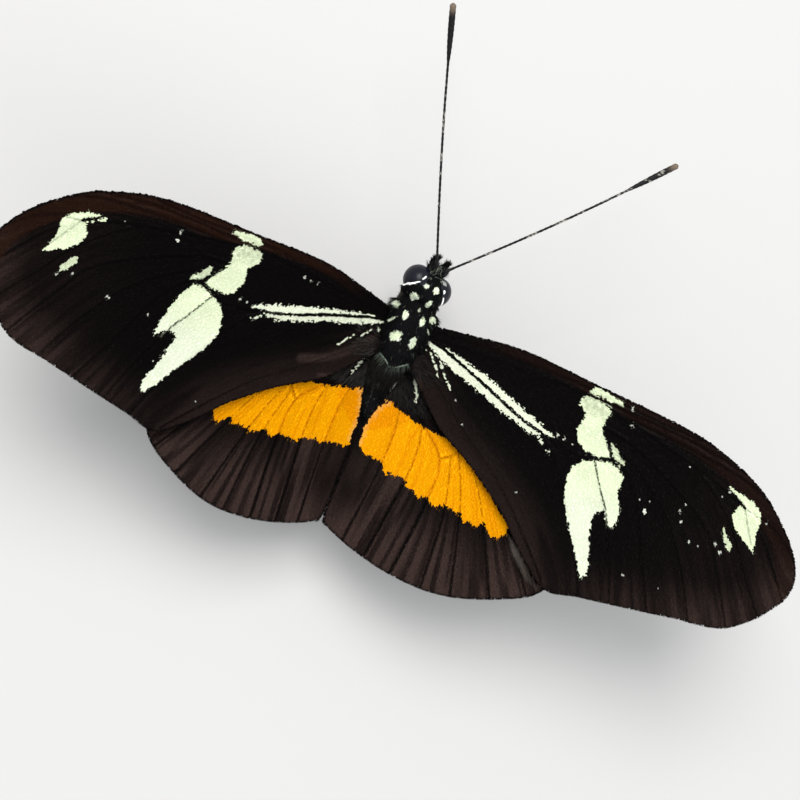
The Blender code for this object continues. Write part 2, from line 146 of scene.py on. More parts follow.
VELVET = linear(8, 6, 6)
BROWN = linear(58, 45, 41)
COSTA_BROWN = linear(47, 25, 15)
CREAM = linear(241, 254, 214)
CREAM_WHITE = linear(250, 255, 240)
STREAK_CREAM = linear(245, 253, 226)
ORANGE = linear(255, 171, 0)
ORANGE_RIM = linear(255, 196, 110)
HAIR_BLACK = linear(9, 9, 11)
HAIR_GREY_AND_SHEEN = linear(92, 88, 82)
UNDER_BROWN = linear(52, 38, 30)
UNDER_RED = linear(150, 42, 24)
UNDER_YELLOW = linear(232, 214, 120)


def tinted_finish(name, roughness, specular, grain=0.25, grain_size=0.05, bump=0.0, bump_size=0.05):
    """A material that takes its colour from the tint attribute, with grain and bump of a set size."""
    made = bpy.data.materials.new(name)
    made.use_nodes = True
    nodes = made.node_tree.nodes
    links = made.node_tree.links
    shader = nodes["Principled BSDF"]
    shader.inputs["Roughness"].default_value = roughness
    shader.inputs["Specular IOR Level"].default_value = specular
    tint = nodes.new("ShaderNodeAttribute")
    tint.attribute_name = "tint"
    spot = nodes.new("ShaderNodeTexCoord")
    noise = nodes.new("ShaderNodeTexNoise")
    noise.inputs["Scale"].default_value = 1.0 / (grain_size * MM)
    noise.inputs["Detail"].default_value = 2.0
    level = nodes.new("ShaderNodeMapRange")
    level.inputs["To Min"].default_value = 1.0 - grain
    level.inputs["To Max"].default_value = 1.0 + grain
    shade = nodes.new("ShaderNodeHueSaturation")
    links.new(spot.outputs["Object"], noise.inputs["Vector"])
    links.new(noise.outputs["Fac"], level.inputs["Value"])
    links.new(level.outputs["Result"], shade.inputs["Value"])
    links.new(tint.outputs["Color"], shade.inputs["Color"])
    links.new(shade.outputs["Color"], shader.inputs["Base Color"])
    if bump:
        relief = nodes.new("ShaderNodeTexNoise")
        relief.inputs["Scale"].default_value = 1.0 / (bump_size * MM)
        press = nodes.new("ShaderNodeBump")
        press.inputs["Strength"].default_value = bump
        press.inputs["Distance"].default_value = bump_size * MM * 0.5
        links.new(spot.outputs["Object"], relief.inputs["Vector"])
        links.new(relief.outputs["Fac"], press.inputs["Height"])
        links.new(press.outputs["Normal"], shader.inputs["Normal"])
    return made


FINISH = {
    "membrane": tinted_finish("wing_membrane", 0.6, 0.04, bump=0.4, bump_size=0.08),
    "scale": tinted_finish("wing_scale", 0.7, 0.015, grain=0.12, grain_size=0.06),
    "skin": tinted_finish("body_skin", 0.7, 0.04, bump=0.5, bump_size=0.1),
    "hair": tinted_finish("body_hair", 0.55, 0.06, grain=0.2, grain_size=0.08),
    "feeler": tinted_finish("feeler_skin", 0.5, 0.15, grain=0.2, bump=0.3, bump_size=0.06),
    "leg": tinted_finish("leg_skin", 0.45, 0.25, grain=0.25, bump=0.35, bump_size=0.07),
}
print(len(FINISH), "finishes")

# %% [markdown]
# Real patterns are never ruled with a straight edge. Value noise gives the wobble: random numbers
# on a lattice, blended smoothly between its points. It is written out here so that the same spot of
# a wing gets the same number each time.

# %% Noise and smooth curves
def scatter(cells):
    """A repeatable number from 0 to 1 for each whole number."""
    wave = np.sin(cells * 12.9898 + 4.1) * 43758.5453
    return wave - np.floor(wave)


def noise(x, y, size=1.0, seed=0.0):
    """Smooth noise from 0 to 1 over the plane, with lumps of about the given size."""
    x = np.asarray(x) / size + 97.3 * seed
    y = np.asarray(y) / size - 31.7 * seed
    column = np.floor(x)
    row = np.floor(y)
    u = x - column
    v = y - row
    u = u * u * (3 - 2 * u)
    v = v * v * (3 - 2 * v)
    corner = [scatter(column + i + 57.0 * (row + j)) for i in (0, 1) for j in (0, 1)]
    left = corner[0] + (corner[1] - corner[0]) * v
    right = corner[2] + (corner[3] - corner[2]) * v
    return left + (right - left) * u


def ramp(value, start, end):
    """0 below start, 1 above end, and smooth between."""
    t = np.clip((np.asarray(value) - start) / (end - start), 0.0, 1.0)
    return t * t * (3 - 2 * t)


def mix(first, second, share):
    """First colour where share is 0, second where it is 1."""
    share = np.asarray(share)[..., None]
    return first * (1 - share) + second * share


def smooth_line(points, step, closed=False):
    """Points about every step along a smooth curve through the given ones."""
    knots = np.array(points, float)
    count = len(knots)
    line = []
    for i in range(count if closed else count - 1):
        if closed:
            a, b, c, d = (knots[(i + k) % count] for k in (-1, 0, 1, 2))
        else:
            a, b, c, d = (knots[min(max(i + k, 0), count - 1)] for k in (-1, 0, 1, 2))
        pieces = max(1, int(round(np.linalg.norm(c - b) / step)))
        t = np.arange(pieces)[:, None] / pieces
        bend = (c - a) * t + (2 * a - 5 * b + 4 * c - d) * t ** 2 + (3 * b - a - 3 * c + d) * t ** 3
        line.append(b + 0.5 * bend)
    if not closed:
        line.append(knots[-1:])
    return np.concatenate(line)


def unit_rows(rows):
    """Rows of directions, each made one long."""
    return rows / (np.linalg.norm(rows, axis=1)[:, None] + 1e-9)


def nearest(points, line):
    """Distance to a line, the side it lies on, the way along it, and its direction there."""
    count = len(points)
    far = np.full(count, 1e9)
    side = np.zeros(count)
    along = np.zeros(count)
    heading = np.zeros((count, 2))
    run = 0.0
    for a, b in zip(line, line[1:]):
        edge = b - a
        length = max(np.hypot(*edge), 1e-9)
        share = np.clip((points - a) @ edge / length ** 2, 0, 1)
        gap = points - a - share[:, None] * edge
        distance = np.hypot(gap[:, 0], gap[:, 1])
        closer = distance < far
        far[closer] = distance[closer]
        side[closer] = np.sign(edge[0] * gap[closer, 1] - edge[1] * gap[closer, 0])
        along[closer] = run + share[closer] * length
        heading[closer] = edge / length
        run += length
    return far, side, along, heading


def within(points, ring):
    """How deep each point lies inside a closed outline; negative outside it."""
    closed = np.vstack([ring, ring[:1]])
    depth = nearest(points, closed)[0]
    crossings = np.zeros(len(points), int)
    for a, b in zip(closed, closed[1:]):
        if a[1] != b[1]:
            spans = (a[1] > points[:, 1]) != (b[1] > points[:, 1])
            x = a[0] + (points[:, 1] - a[1]) / (b[1] - a[1]) * (b[0] - a[0])
            crossings += spans & (x > points[:, 0])
    return np.where(crossings % 2 == 1, depth, -depth)


print("noise at three places", noise(np.array([0.0, 1.5, 3.1]), np.zeros(3)).round(2))

# %% [markdown]
# A wing is drawn flat, out from its hinge and forward, then lifted into its plane. These are the
# same outlines and veins as in the solids. The free edge runs from the front of the root, round the
# tip, to the back of the root.

# %% Wing plans
HINGE_X = 2.0
WING_LIFT = radians(20.6)
FOREWING_LENGTH = 37.1
WING_BOW = 0.4
ROOT_X = -0.45
FOREWING = {
    "drop": 0.0,
    "front": [(ROOT_X, 1.5), (0.3, 1.7), (3.2, 2.1), (8.1, 2.65), (15.5, 2.2), (23.9, 1.6), (28.9, 0.3),
              (32.3, -1.4), (35.7, -4.5), (37.1, -7.6)],
    "back": [(ROOT_X, -2.8), (0.2, -3.2), (1.6, -4.5), (4.0, -6.6), (7.5, -8.5), (11.4, -11.2),
             (13.9, -13.5), (17.2, -15.9), (20.4, -15.4), (24.6, -14.7), (28.5, -14.0), (32.7, -13.2),
             (35.7, -10.6), (37.1, -7.6)],
    "long": {
        "subcosta": [(0.0, 1.2), (5.0, 1.75), (10.0, 1.8), (15.5, 1.6), (20.5, 1.2), (25.0, 1.1)],
        "radius": [(0.0, 0.7), (5.0, 0.9), (10.0, 1.05), (14.4, 1.0), (18.0, 0.4), (23.0, -0.7),
                   (27.5, -1.8), (30.6, -2.9), (32.1, -3.0), (34.4, -4.0), (36.3, -5.6)],
        "cubitus": [(0.0, 0.38), (1.6, 0.05), (3.25, -0.52), (5.3, -1.23), (7.4, -2.02), (9.5, -2.8),
                    (11.7, -3.42), (15.9, -4.1), (18.4, -3.4), (19.8, -3.7), (21.8, -5.9),
                    (24.4, -11.0), (26.2, -14.4)],
        "anal": [(0.0, -1.3), (3.0, -3.6), (6.0, -5.9), (10.0, -8.6), (13.5, -11.8), (17.0, -15.4)],
        "radial_one": [(14.0, 1.0), (19.0, 1.0), (25.5, 0.6), (29.5, -0.1)],
        "radial_two": [(17.5, 0.5), (23.0, 0.2), (29.5, -0.6), (32.5, -1.7)],
        "radial_four": [(30.6, -2.9), (31.9, -3.8), (33.4, -5.2), (35.3, -7.5), (36.8, -9.4)],
        "radial_five": [(25.5, -1.3), (28.3, -3.2), (30.6, -5.4), (32.7, -8.2), (35.3, -11.4)],
        "median_one": [(16.9, -1.0), (21.0, -2.0), (27.8, -5.5), (30.2, -8.6), (32.9, -13.0)],
        "median_two": [(17.8, -2.3), (20.6, -3.2), (24.5, -6.0), (27.4, -9.7), (29.7, -13.8)],
        "cubital_one": [(17.2, -4.0), (18.6, -6.2), (19.8, -7.9), (21.6, -11.6), (22.9, -15.0)],
        "cubital_two": [(11.7, -3.4), (14.0, -5.2), (16.6, -8.6), (18.9, -12.4), (20.2, -15.4)],
    },
    "cross": {"discal_end": [(16.0, 0.7), (16.7, -0.9), (17.8, -2.3), (18.5, -3.3)]},
}
HINDWING = {
    "drop": 1.15,
    "front": [(-2.14, -14.0), (-2.13, -13.0), (-2.1, -10.2), (-1.96, -8.8), (-1.7, -7.6), (-1.36, -6.4),
              (-1.05, -5.3), (-0.75, -4.2), (ROOT_X, -3.2), (0.2, -2.4), (4.0, -2.5), (9.0, -3.5),
              (13.0, -5.5), (16.0, -8.5), (18.0, -12.0), (18.5, -14.5)],
    "back": [(-2.14, -14.0), (-2.15, -16.9), (-1.98, -17.75), (0.3, -18.75), (3.6, -19.6), (7.0, -19.95),
             (10.2, -19.7), (13.6, -18.6), (17.1, -16.8), (18.5, -14.5)],
    "long": {
        "subcosta": [(0.0, -2.9), (5.0, -3.6), (10.0, -5.4), (14.0, -8.3), (17.2, -12.7), (18.1, -15.0)],
        "cell_front": [(0.0, -3.4), (3.0, -4.7), (6.3, -6.5), (11.5, -10.4), (16.6, -17.0)],
        "cell_rear": [(0.0, -3.8), (2.6, -6.4), (5.3, -8.9), (5.6, -13.0), (5.0, -19.6)],
        "median_one": [(6.5, -6.8), (9.8, -10.8), (13.7, -18.3)],
        "median_two": [(6.5, -7.6), (8.4, -11.8), (10.5, -19.4)],
        "median_three": [(6.1, -8.3), (7.3, -12.8), (7.9, -19.7)],
        "cubital_two": [(2.6, -6.4), (3.2, -8.4), (3.2, -12.0), (2.4, -19.0)],
        "anal": [(0.0, -4.4), (0.8, -8.0), (0.7, -13.0), (0.2, -18.4)],
    },
    "cross": {"cell_end": [(6.3, -6.5), (6.4, -7.8), (5.3, -8.9)]},
}
LINE_STEP = 0.6
for plan in (FOREWING, HINDWING):
    plan["edge"] = smooth_line([*plan["front"], *plan["back"][-2::-1]], LINE_STEP)
    tip = int(np.argmin(np.hypot(*(plan["edge"] - plan["front"][-1]).T)))
    plan["ahead"] = plan["edge"][:tip + 1]
    plan["behind"] = plan["edge"][tip:][::-1]
    plan["veins"] = [smooth_line(route, LINE_STEP) for route in plan["long"].values()]
    plan["bridges"] = [smooth_line(route, LINE_STEP) for route in plan["cross"].values()]
    print(len(plan["edge"]), "points round a wing with", len(plan["veins"]), "long veins")

# %% [markdown]
# Between two veins the membrane sags a little, and along a vein it swells into a ridge. We ask
# each spot of a wing for its nearest veins once, and use the answer three times: for the relief,
# for the rays in the pattern, and for the way the scales point.

# %% Reading the veins
MEMBRANE = 0.14
RIDGE_HEIGHT = 0.055
RIDGE_WIDTH = 0.16
SAG = 0.1


def read_veins(plan, points):
    """For each spot: nearest vein, second nearest, distances, lie of the wing, and cross-vein distance."""
    found = [nearest(points, line) for line in plan["veins"]]
    gaps = np.array([f[0] for f in found])
    order = np.argsort(gaps, axis=0)[:2]
    rows = np.arange(len(points))
    first = gaps[order[0], rows]
    second = gaps[order[1], rows]
    low = np.minimum(order[0], order[1])
    high = np.maximum(order[0], order[1])
    across = gaps[low, rows] / (first + second + 1e-6)
    weights = 1.0 / (gaps + 0.35) ** 3
    lie = sum(w[:, None] * f[3] for w, f in zip(weights, found))
    lie /= np.linalg.norm(lie, axis=1)[:, None]
    bridge = np.min([nearest(points, line)[0] for line in plan["bridges"]], axis=0)
    ray = low * 7.0 + high * 13.0 + across * 6.0
    return {"first": first, "bridge": bridge, "lie": lie, "ray": ray}


def wing_height(x):
    """The height of a wing's middle surface over its hinge."""
    return x * sin(WING_LIFT) + WING_BOW * np.sin(pi * np.maximum(0.0, x) / FOREWING_LENGTH)


def wing_point(plan, side, points, veins, face):
    """Spots of the flat plan, lifted onto the upper (face 1) or lower (face -1) side of a wing."""
    x, y = points[:, 0], points[:, 1]
    near = np.minimum(veins["first"], veins["bridge"])
    ridge = RIDGE_HEIGHT * np.exp(-(near / RIDGE_WIDTH) ** 2)
    sag = SAG * (1.0 - np.exp(-(veins["first"] / 0.9) ** 2))
    z = wing_height(x) - plan["drop"] - sag + face * (MEMBRANE / 2 + ridge)
    return np.column_stack([side * (HINGE_X + x * cos(WING_LIFT)), y, z])


probe = np.array([(5.0, -1.4), (9.0, -6.0)])
heights = wing_point(FOREWING, 1, probe, read_veins(FOREWING, probe), 1)[:, 2]
print("heights on a vein and between veins:", heights.round(2))

# %% [markdown]
# The marks come next. On the forewing a pale green cream blob fills the end of the cell, a patch
# with two lobes hangs below it, a double streak runs out along a black vein, and a spot sits near
# the tip. The two wings differ slightly, as on any real insect, so each side has its own
# outlines, in the wing's flat plan.

# %% Outlines of the marks
LEFT, RIGHT = -1, 1
SIDES = ((LEFT, "left"), (RIGHT, "right"))
BLOB = {
    RIGHT: [(14.1, 0.2), (14.6, 1.0), (15.9, 0.85), (17.0, 0.45), (16.8, -0.8), (17.2, -1.7), (17.9, -2.4),
            (18.35, -3.25), (17.3, -3.6), (16.1, -3.5), (15.2, -2.9), (14.8, -2.1), (15.0, -0.6)],
    LEFT: [(17.0, 0.2), (16.2, 0.8), (14.9, 0.95), (14.2, 0.7), (14.2, 0.1), (15.0, -0.8), (14.8, -1.7),
           (15.1, -2.5), (15.5, -3.2), (16.5, -3.5), (17.5, -3.4), (18.35, -3.25), (18.0, -2.3),
           (17.3, -1.5), (16.8, -0.9)],
}
PATCH = {
    RIGHT: [(17.2, -3.95), (18.5, -3.65), (19.5, -4.0), (20.05, -4.5), (20.1, -5.8), (20.8, -7.0),
            (20.9, -8.0), (20.7, -8.7), (20.1, -8.6), (19.5, -7.7), (19.1, -8.0), (18.9, -8.7),
            (19.2, -10.0), (19.8, -11.6), (20.2, -13.4), (19.8, -13.8), (18.6, -12.0), (17.3, -10.1),
            (16.4, -8.8), (15.9, -7.7), (15.5, -6.3), (15.7, -5.1), (16.4, -4.35)],
    LEFT: [(18.7, -3.6), (17.2, -3.95), (16.2, -4.4), (15.5, -5.2), (15.3, -6.2), (15.5, -7.2), (16.1, -8.4),
           (17.1, -9.7), (18.1, -11.1), (19.0, -12.5), (19.9, -13.35), (20.1, -12.3), (19.5, -10.6),
           (19.1, -9.2), (18.9, -8.2), (19.6, -8.0), (20.2, -8.3), (20.8, -8.6), (20.8, -7.6),
           (20.5, -6.4), (20.1, -5.2), (19.5, -4.1)],
}
SLIVER = {
    RIGHT: [(18.0, -2.1), (18.6, -2.4), (19.6, -3.4), (19.5, -3.7), (18.8, -3.2), (18.3, -2.6)],
    LEFT: [(18.1, -1.8), (18.8, -2.4), (19.6, -3.2), (19.7, -3.6), (18.9, -3.2), (18.3, -2.5)],
}
COSTAL_SPOT = {
    RIGHT: [(14.6, 1.45), (15.1, 1.9), (16.5, 1.75), (17.7, 1.4), (17.3, 1.2), (16.2, 1.3), (15.3, 1.3)],
    LEFT: [(17.7, 1.45), (16.2, 1.85), (15.2, 1.85), (14.6, 1.5), (15.2, 1.3), (16.3, 1.2), (17.2, 1.2)],
}
TIP_SPOT = {
    RIGHT: [(28.7, -1.7), (29.7, -1.85), (30.8, -2.0), (31.8, -2.5), (32.3, -3.2), (32.35, -4.2),
            (32.5, -5.2), (32.7, -6.1), (31.8, -5.7), (30.7, -5.0), (29.95, -4.2), (29.95, -3.4),
            (30.1, -2.7), (29.4, -2.2)],
    LEFT: [(28.5, -2.0), (29.6, -2.0), (30.5, -2.1), (31.4, -2.6), (32.1, -3.3), (32.2, -4.3), (32.2, -5.0),
           (32.6, -6.2), (31.6, -5.8), (30.5, -5.1), (29.8, -4.4), (29.8, -3.6), (30.1, -3.0), (29.6, -2.6)],
}
TIP_SPECK = {
    RIGHT: [(29.4, -4.9), (29.7, -5.15), (30.2, -5.75), (30.85, -6.3), (30.75, -6.75), (30.3, -6.5),
            (29.8, -5.8)],
    LEFT: [(29.7, -5.5), (30.2, -5.9), (30.7, -6.8), (30.8, -7.3), (30.2, -6.8), (29.6, -6.1)],
}
ORANGE_PATCH = {
    RIGHT: [(-0.67, -5.9), (-0.97, -6.2), (-1.35, -7.2), (-1.7, -8.6), (-1.78, -9.9), (-1.61, -10.5),
            (-0.77, -11.15), (-0.21, -10.9), (0.71, -11.32), (1.49, -11.95), (1.94, -11.55),
            (2.76, -11.77), (3.9, -12.3), (6.4, -12.75), (8.0, -12.6), (9.0, -13.1), (10.8, -13.0),
            (11.8, -13.4), (13.0, -12.9), (13.5, -11.4), (12.0, -8.9), (9.0, -6.9), (4.9, -6.9),
            (3.8, -6.85), (2.62, -6.75), (1.53, -6.5), (0.34, -6.1)],
    LEFT: [(-0.8, -5.85), (-1.15, -6.56), (-1.5, -7.6), (-1.8, -9.13), (-1.8, -10.6), (-1.13, -11.15),
           (-0.18, -11.1), (0.91, -11.68), (1.85, -11.3), (3.45, -12.15), (4.58, -12.05), (5.52, -12.23),
           (6.16, -12.6), (7.03, -12.6), (8.12, -12.77), (8.81, -13.03), (9.64, -12.74), (10.77, -12.78),
           (11.63, -13.15), (12.66, -12.62), (13.4, -11.4), (12.0, -8.9), (9.0, -6.9), (5.2, -6.9),
           (3.67, -6.85), (2.42, -6.65), (0.86, -6.25)],
}
FLECKS = {
    RIGHT: [(22.79, -6.44, 0.17), (22.02, -5.67, 0.1), (22.85, -5.53, 0.1), (24.94, -1.45, 0.1),
            (25.82, -4.6, 0.1), (25.53, -5.22, 0.1), (26.01, -6.06, 0.13), (27.32, -7.4, 0.12),
            (28.13, -7.42, 0.08), (29.4, -6.7, 0.12), (30.05, -7.2, 0.12), (18.51, 1.38, 0.11),
            (19.0, -0.01, 0.1), (23.13, -12.17, 0.09), (32.88, -3.43, 0.09), (28.46, -2.7, 0.1),
            (28.9, -2.1, 0.1), (13.55, -3.16, 0.12), (14.13, -3.28, 0.12), (14.89, -3.41, 0.09),
            (12.07, -9.1, 0.08), (4.28, -3.71, 0.09), (5.57, -5.36, 0.08), (26.32, -12.07, 0.08)],
    LEFT: [(22.15, -1.2, 0.16), (22.19, -0.51, 0.11), (25.93, -7.51, 0.11), (14.82, -12.33, 0.08),
           (30.21, -12.75, 0.08), (19.99, -10.76, 0.09), (27.19, -1.54, 0.09), (30.75, -7.5, 0.1),
           (29.52, -6.98, 0.1), (22.05, -7.49, 0.09), (9.6, 0.61, 0.1), (8.91, 0.6, 0.1), (8.14, 0.6, 0.08),
           (14.61, -3.28, 0.12), (13.97, -3.24, 0.12)],
}
STREAK_TEETH = 0.2
MARK_TEETH = 0.09


def mark_depth(marks, side, points, teeth=MARK_TEETH, grow=-0.05):
    """How deep each spot lies in a mark whose edge is wobbly and toothed; -1 or so far outside it."""
    ring = smooth_line(marks[side], 0.4, closed=True)
    close = ((points > ring.min(0) - 0.6) & (points < ring.max(0) + 0.6)).all(axis=1)
    depth = np.full(len(points), -1.0)
    depth[close] = within(points[close], ring)
    x, y = points.T
    wobble = (noise(x, y, 0.22, 3) - 0.5) * 2 * teeth + (noise(x, y, 0.9, 5) - 0.5) * teeth * 0.7
    return depth + wobble + grow


MARKS = (BLOB, PATCH, SLIVER, COSTAL_SPOT, TIP_SPOT, TIP_SPECK, ORANGE_PATCH)
print(sum(len(marks[RIGHT]) for marks in MARKS), "points outline the right marks")

# %% [markdown]
# The ground colour isn't one black. The heart of the forewing is jet velvet, the front edge has a
# red-brown band, and towards the outer and hind margins the black thins to brown with rays between
# the veins. The double streak is drawn by its reach on either side of the vein it follows, at
# stations along the wing.

# %% Painting a forewing
CUBITUS, CUBITAL_ONE = 2, 10
STREAK_ABOVE = {
    RIGHT: [(1.6, 0.1), (2.0, 0.26), (3.3, 0.36), (5.0, 0.56), (7.0, 0.7), (9.0, 0.8), (11.0, 0.68),
            (12.5, 0.45), (14.3, 0.1)],
    LEFT: [(1.2, 0.1), (1.7, 0.22), (3.3, 0.3), (5.0, 0.4), (7.0, 0.55), (9.0, 0.72), (11.0, 0.72),
           (12.5, 0.52), (14.3, 0.12)],
}
STREAK_BELOW = {
    RIGHT: [(-0.4, 0.0), (0.4, 0.48), (1.8, 0.82), (3.7, 0.86), (5.7, 0.76), (7.8, 0.68), (9.8, 0.58),
            (11.5, 0.48), (12.3, 0.0)],
    LEFT: [(-0.4, 0.0), (0.4, 0.38), (1.8, 0.56), (3.7, 0.6), (5.7, 0.58), (7.8, 0.54), (9.8, 0.47),
           (11.5, 0.38), (12.3, 0.0)],
}
TIP_BAR = [(29.0, -2.0), (30.6, -2.9)]
TIP_LINES = [[(30.6, -2.9), (32.3, -3.3)], [(30.6, -2.9), (31.3, -4.0), (32.3, -5.5)]]
FOREWING_MARKS = ((BLOB, 1.0, -0.05), (PATCH, 1.0, -0.03), (SLIVER, 0.75, 0.04), (COSTAL_SPOT, 1.0, 0.0),
                  (TIP_SPOT, 1.0, -0.03), (TIP_SPECK, 0.8, 0.0))
FORK = {RIGHT: [(12.0, -3.85), (12.6, -4.4), (13.3, -4.75)], LEFT: [(12.1, -3.8), (12.9, -4.4)]}
FOREWING_DASHES = {
    RIGHT: [[(0.85, -0.73), (1.59, -1.52), (2.08, -2.32)], [(1.8, -1.01), (2.47, -1.83), (3.07, -2.5),
             (3.65, -3.09)],
            [(0.31, -0.62), (0.68, -0.72)], [(0.3, 0.07), (1.26, -0.31)]],
    LEFT: [[(1.13, -1.0), (1.81, -1.71)], [(2.33, -1.7), (2.74, -2.1), (3.39, -2.83), (3.77, -3.3)],
           [(0.61, -0.39), (0.28, -0.72)]],
}
FOLDS = {
    RIGHT: [([(0.7, -3.24), (1.27, -4.4), (2.17, -5.37), (3.25, -6.17)], 0.3)],
    LEFT: [([(0.65, -1.67), (2.46, -3.33), (4.4, -4.67), (6.84, -5.64)], 0.4),
           ([(1.72, -4.75), (2.96, -5.77), (4.43, -6.3)], 0.2)],
}


def cloudy(points, colour, amount, size, seed):
    """A colour that varies a little from place to place."""
    wave = noise(points[:, 0], points[:, 1], size, seed) - 0.5
    return colour * (1.0 + 2 * amount * wave)[:, None]


def paint_streak(side, points):
    """Whether a spot belongs to the double pale streak along the cubitus."""
    x, y = points[:, 0], points[:, 1]
    drift = 0.1 * ramp(x, 2.0, 6.0) * (side == LEFT)
    far, left_hand, _, _ = nearest(np.column_stack([x, y - drift]), FOREWING["veins"][CUBITUS])
    teeth = STREAK_TEETH * (noise(x, y, 0.14, 8) + 1.6 * noise(x, y, 0.07, 9) ** 2 - 1)
    above = np.interp(x, *zip(*STREAK_ABOVE[side]), left=0.0, right=0.0)
    below = np.interp(x, *zip(*STREAK_BELOW[side]), left=0.0, right=0.0)
    reach = np.where(left_hand > 0, above, below)
    streak = (far > 0.135) & (reach > 0.12) & (far < reach + teeth * ramp(reach, 0.1, 0.4)) & (x < 15.0)
    ragged_end = noise(x, y, 0.2, 9) > ramp(x, 11.5, 14.9) * 0.8
    fork_specks = (nearest(points, np.array(FORK[side]))[0] < 0.13) & (noise(x, y, 0.2, 10) > 0.52)
    return (streak & ragged_end) | fork_specks


def paint_base_dashes(plan_lines, points, width, share, seed):
    """Broken rows of white scales near a wing's root."""
    x, y = points[:, 0], points[:, 1]
    hit = np.zeros(len(points), bool)
    for line in plan_lines:
        far = nearest(points, np.array(line))[0]
        hit |= (far < width) & (noise(x, y, 0.17, seed) > 1 - share)
    return hit


def rayed(points, veins, seed):
    """Dark and light rays that run out between the veins: broad ones and the threads in them."""
    run = np.hypot(points[:, 0], points[:, 1])
    broad = ramp(noise(veins["ray"] * 1.2, run * 0.15, 1.0, seed), 0.3, 0.7)
    thread = noise(veins["ray"] * 3.4, run * 0.35, 1.0, seed + 2)
    return broad, thread


def paint_forewing(side, points, veins, face):
    """Colours of a forewing at these spots, on its upper or lower face."""
    x, y = points[:, 0], points[:, 1]
    margin = nearest(points, FOREWING["edge"])[0]
    front = nearest(points, FOREWING["ahead"])[0]
    broad, thread = rayed(points, veins, 2)
    outer = ramp(np.hypot(x, y + 2), 22.0, 35.0)
    hind = ramp(-y - 0.35 * x, 2.5, 6.0) * (1 - ramp(x, 15.0, 21.0))
    back = 1 - ramp(nearest(points, FOREWING["behind"])[0], 0.3, 4.2)
    thin = np.clip(0.5 * outer * (0.3 + 0.7 * back) + 0.08 * hind + 0.27 * back, 0, 0.9)
    thin = thin * (0.2 + 0.6 * broad + 0.5 * thread)
    colour = mix(VELVET, BROWN, np.clip(thin, 0, 1))
    # The red-brown front band is the wing's own colour. It is drawn twice as strong on the left forewing, and
    # that extra brown is painted sheen.
    band_and_sheen = {LEFT: 0.66, RIGHT: 0.32}[side]
    reach = 0.8 + 0.7 * ramp(x, 12.0, 20.0)
    costa = ramp(front, 0.16, 0.3) * (1 - ramp(front, reach, reach + 0.35)) * ramp(x, 2.0, 9.0) * (y > -9)
    costa = band_and_sheen * costa * (0.6 + 0.4 * thread)
    colour = mix(colour, COSTA_BROWN, costa)
    for line, width in FOLDS[side]:
        fold = 1 - ramp(nearest(points, smooth_line(line, LINE_STEP))[0], 0.3 * width, 1.4 * width)
        colour = mix(colour, BROWN * 1.15, fold * 0.8 * (0.6 + 0.4 * thread))
    if face < 0:
        colour = mix(colour, UNDER_BROWN, 0.75)
    near = np.minimum(veins["first"], veins["bridge"])
    dark_vein = (1 - ramp(near, 0.05, 0.15)) * 0.75 * (1 - 0.9 * costa) * (0.35 + 0.65 * ramp(x, 8, 16))
    colour = mix(colour, VELVET * 0.6, dark_vein)
    colour = mix(colour, VELVET * 0.6, 1 - ramp(margin, 0.1, 0.22))
    pale = mix(cloudy(points, CREAM, 0.04, 1.1, 6), CREAM_WHITE, ramp(y, -5.0, -9.0) * (x < 25) * 0.5)
    worn = ramp(y, -1.0, 0.4) * (y < 1.0) * noise(x, y, 0.3, 11) * (x < 25)
    for marks, strength, grow in FOREWING_MARKS:
        shown = pale * (strength - 0.4 * worn * (marks is BLOB))[:, None]
        colour = mix(colour, shown, mark_depth(marks, side, points, grow=grow) > 0)
    lobes = nearest(points, FOREWING["veins"][CUBITAL_ONE])[0]
    colour = mix(colour, CREAM * 0.1, (1 - ramp(lobes, 0.03, 0.1)) * (y > -8.8) * (y < -3.9))
    cell_edge = np.minimum(nearest(points, FOREWING["veins"][CUBITUS])[0], veins["bridge"])
    colour = mix(colour, VELVET, (1 - ramp(cell_edge, 0.09, 0.15)) * (x > 15) * (x < 19.7) * (y < -1.4))
    fine = np.min([nearest(points, np.array(line))[0] for line in TIP_LINES], axis=0)
    in_tip = mark_depth(TIP_SPOT, side, points) > 0
    colour = mix(colour, CREAM * 0.3, (1 - ramp(fine, 0.03, 0.09)) * in_tip * 0.6)
    colour = mix(colour, VELVET, 1 - ramp(nearest(points, np.array(TIP_BAR))[0], 0.1, 0.17))
    if face > 0:
        streak = paint_streak(side, points)
        colour = mix(colour, cloudy(points, STREAK_CREAM, 0.04, 0.7, 7), streak)
        dashes = paint_base_dashes(FOREWING_DASHES[side], points, 0.085, 0.58, 12)
        colour = mix(colour, STREAK_CREAM * 0.9, dashes)
        for fleck_x, fleck_y, radius in FLECKS[side]:
            fleck = np.hypot(x - fleck_x, y - fleck_y) < radius
            colour = mix(colour, CREAM_WHITE, fleck * min(0.9, 5.5 * radius))
    else:
        base = (np.hypot(x - 1.5, y + 0.2) < 0.9) & (veins["first"] > 0.12)
        colour = mix(colour, UNDER_RED, base * 0.9)
    return colour


probe = np.array([(31.2, -4.0)])
print("the tip spot's middle is", paint_forewing(1, probe, read_veins(FOREWING, probe), 1).round(2))

# %% [markdown]
# The hindwing is a broad orange flash with a toothed lower edge, where the orange runs a little
# further down each space between veins. Faint darker lines show the veins in it. Outside it the
# wing is brown-black with dark and light rays, and a fine black line follows the margin.

# %% Painting a hindwing
HINDWING_DASHES = {
    RIGHT: [[(0.44, -2.9), (1.04, -3.74), (1.44, -4.42), (1.5, -5.06)]],
    LEFT: [[(-0.15, -2.83), (0.37, -3.44), (0.7, -4.43), (1.08, -5.11)]],
}
GREY_WEDGE = [(13.1, -12.6), (14.4, -13.3), (17.7, -15.7), (17.3, -16.3), (15.9, -15.7), (14.0, -14.0)]


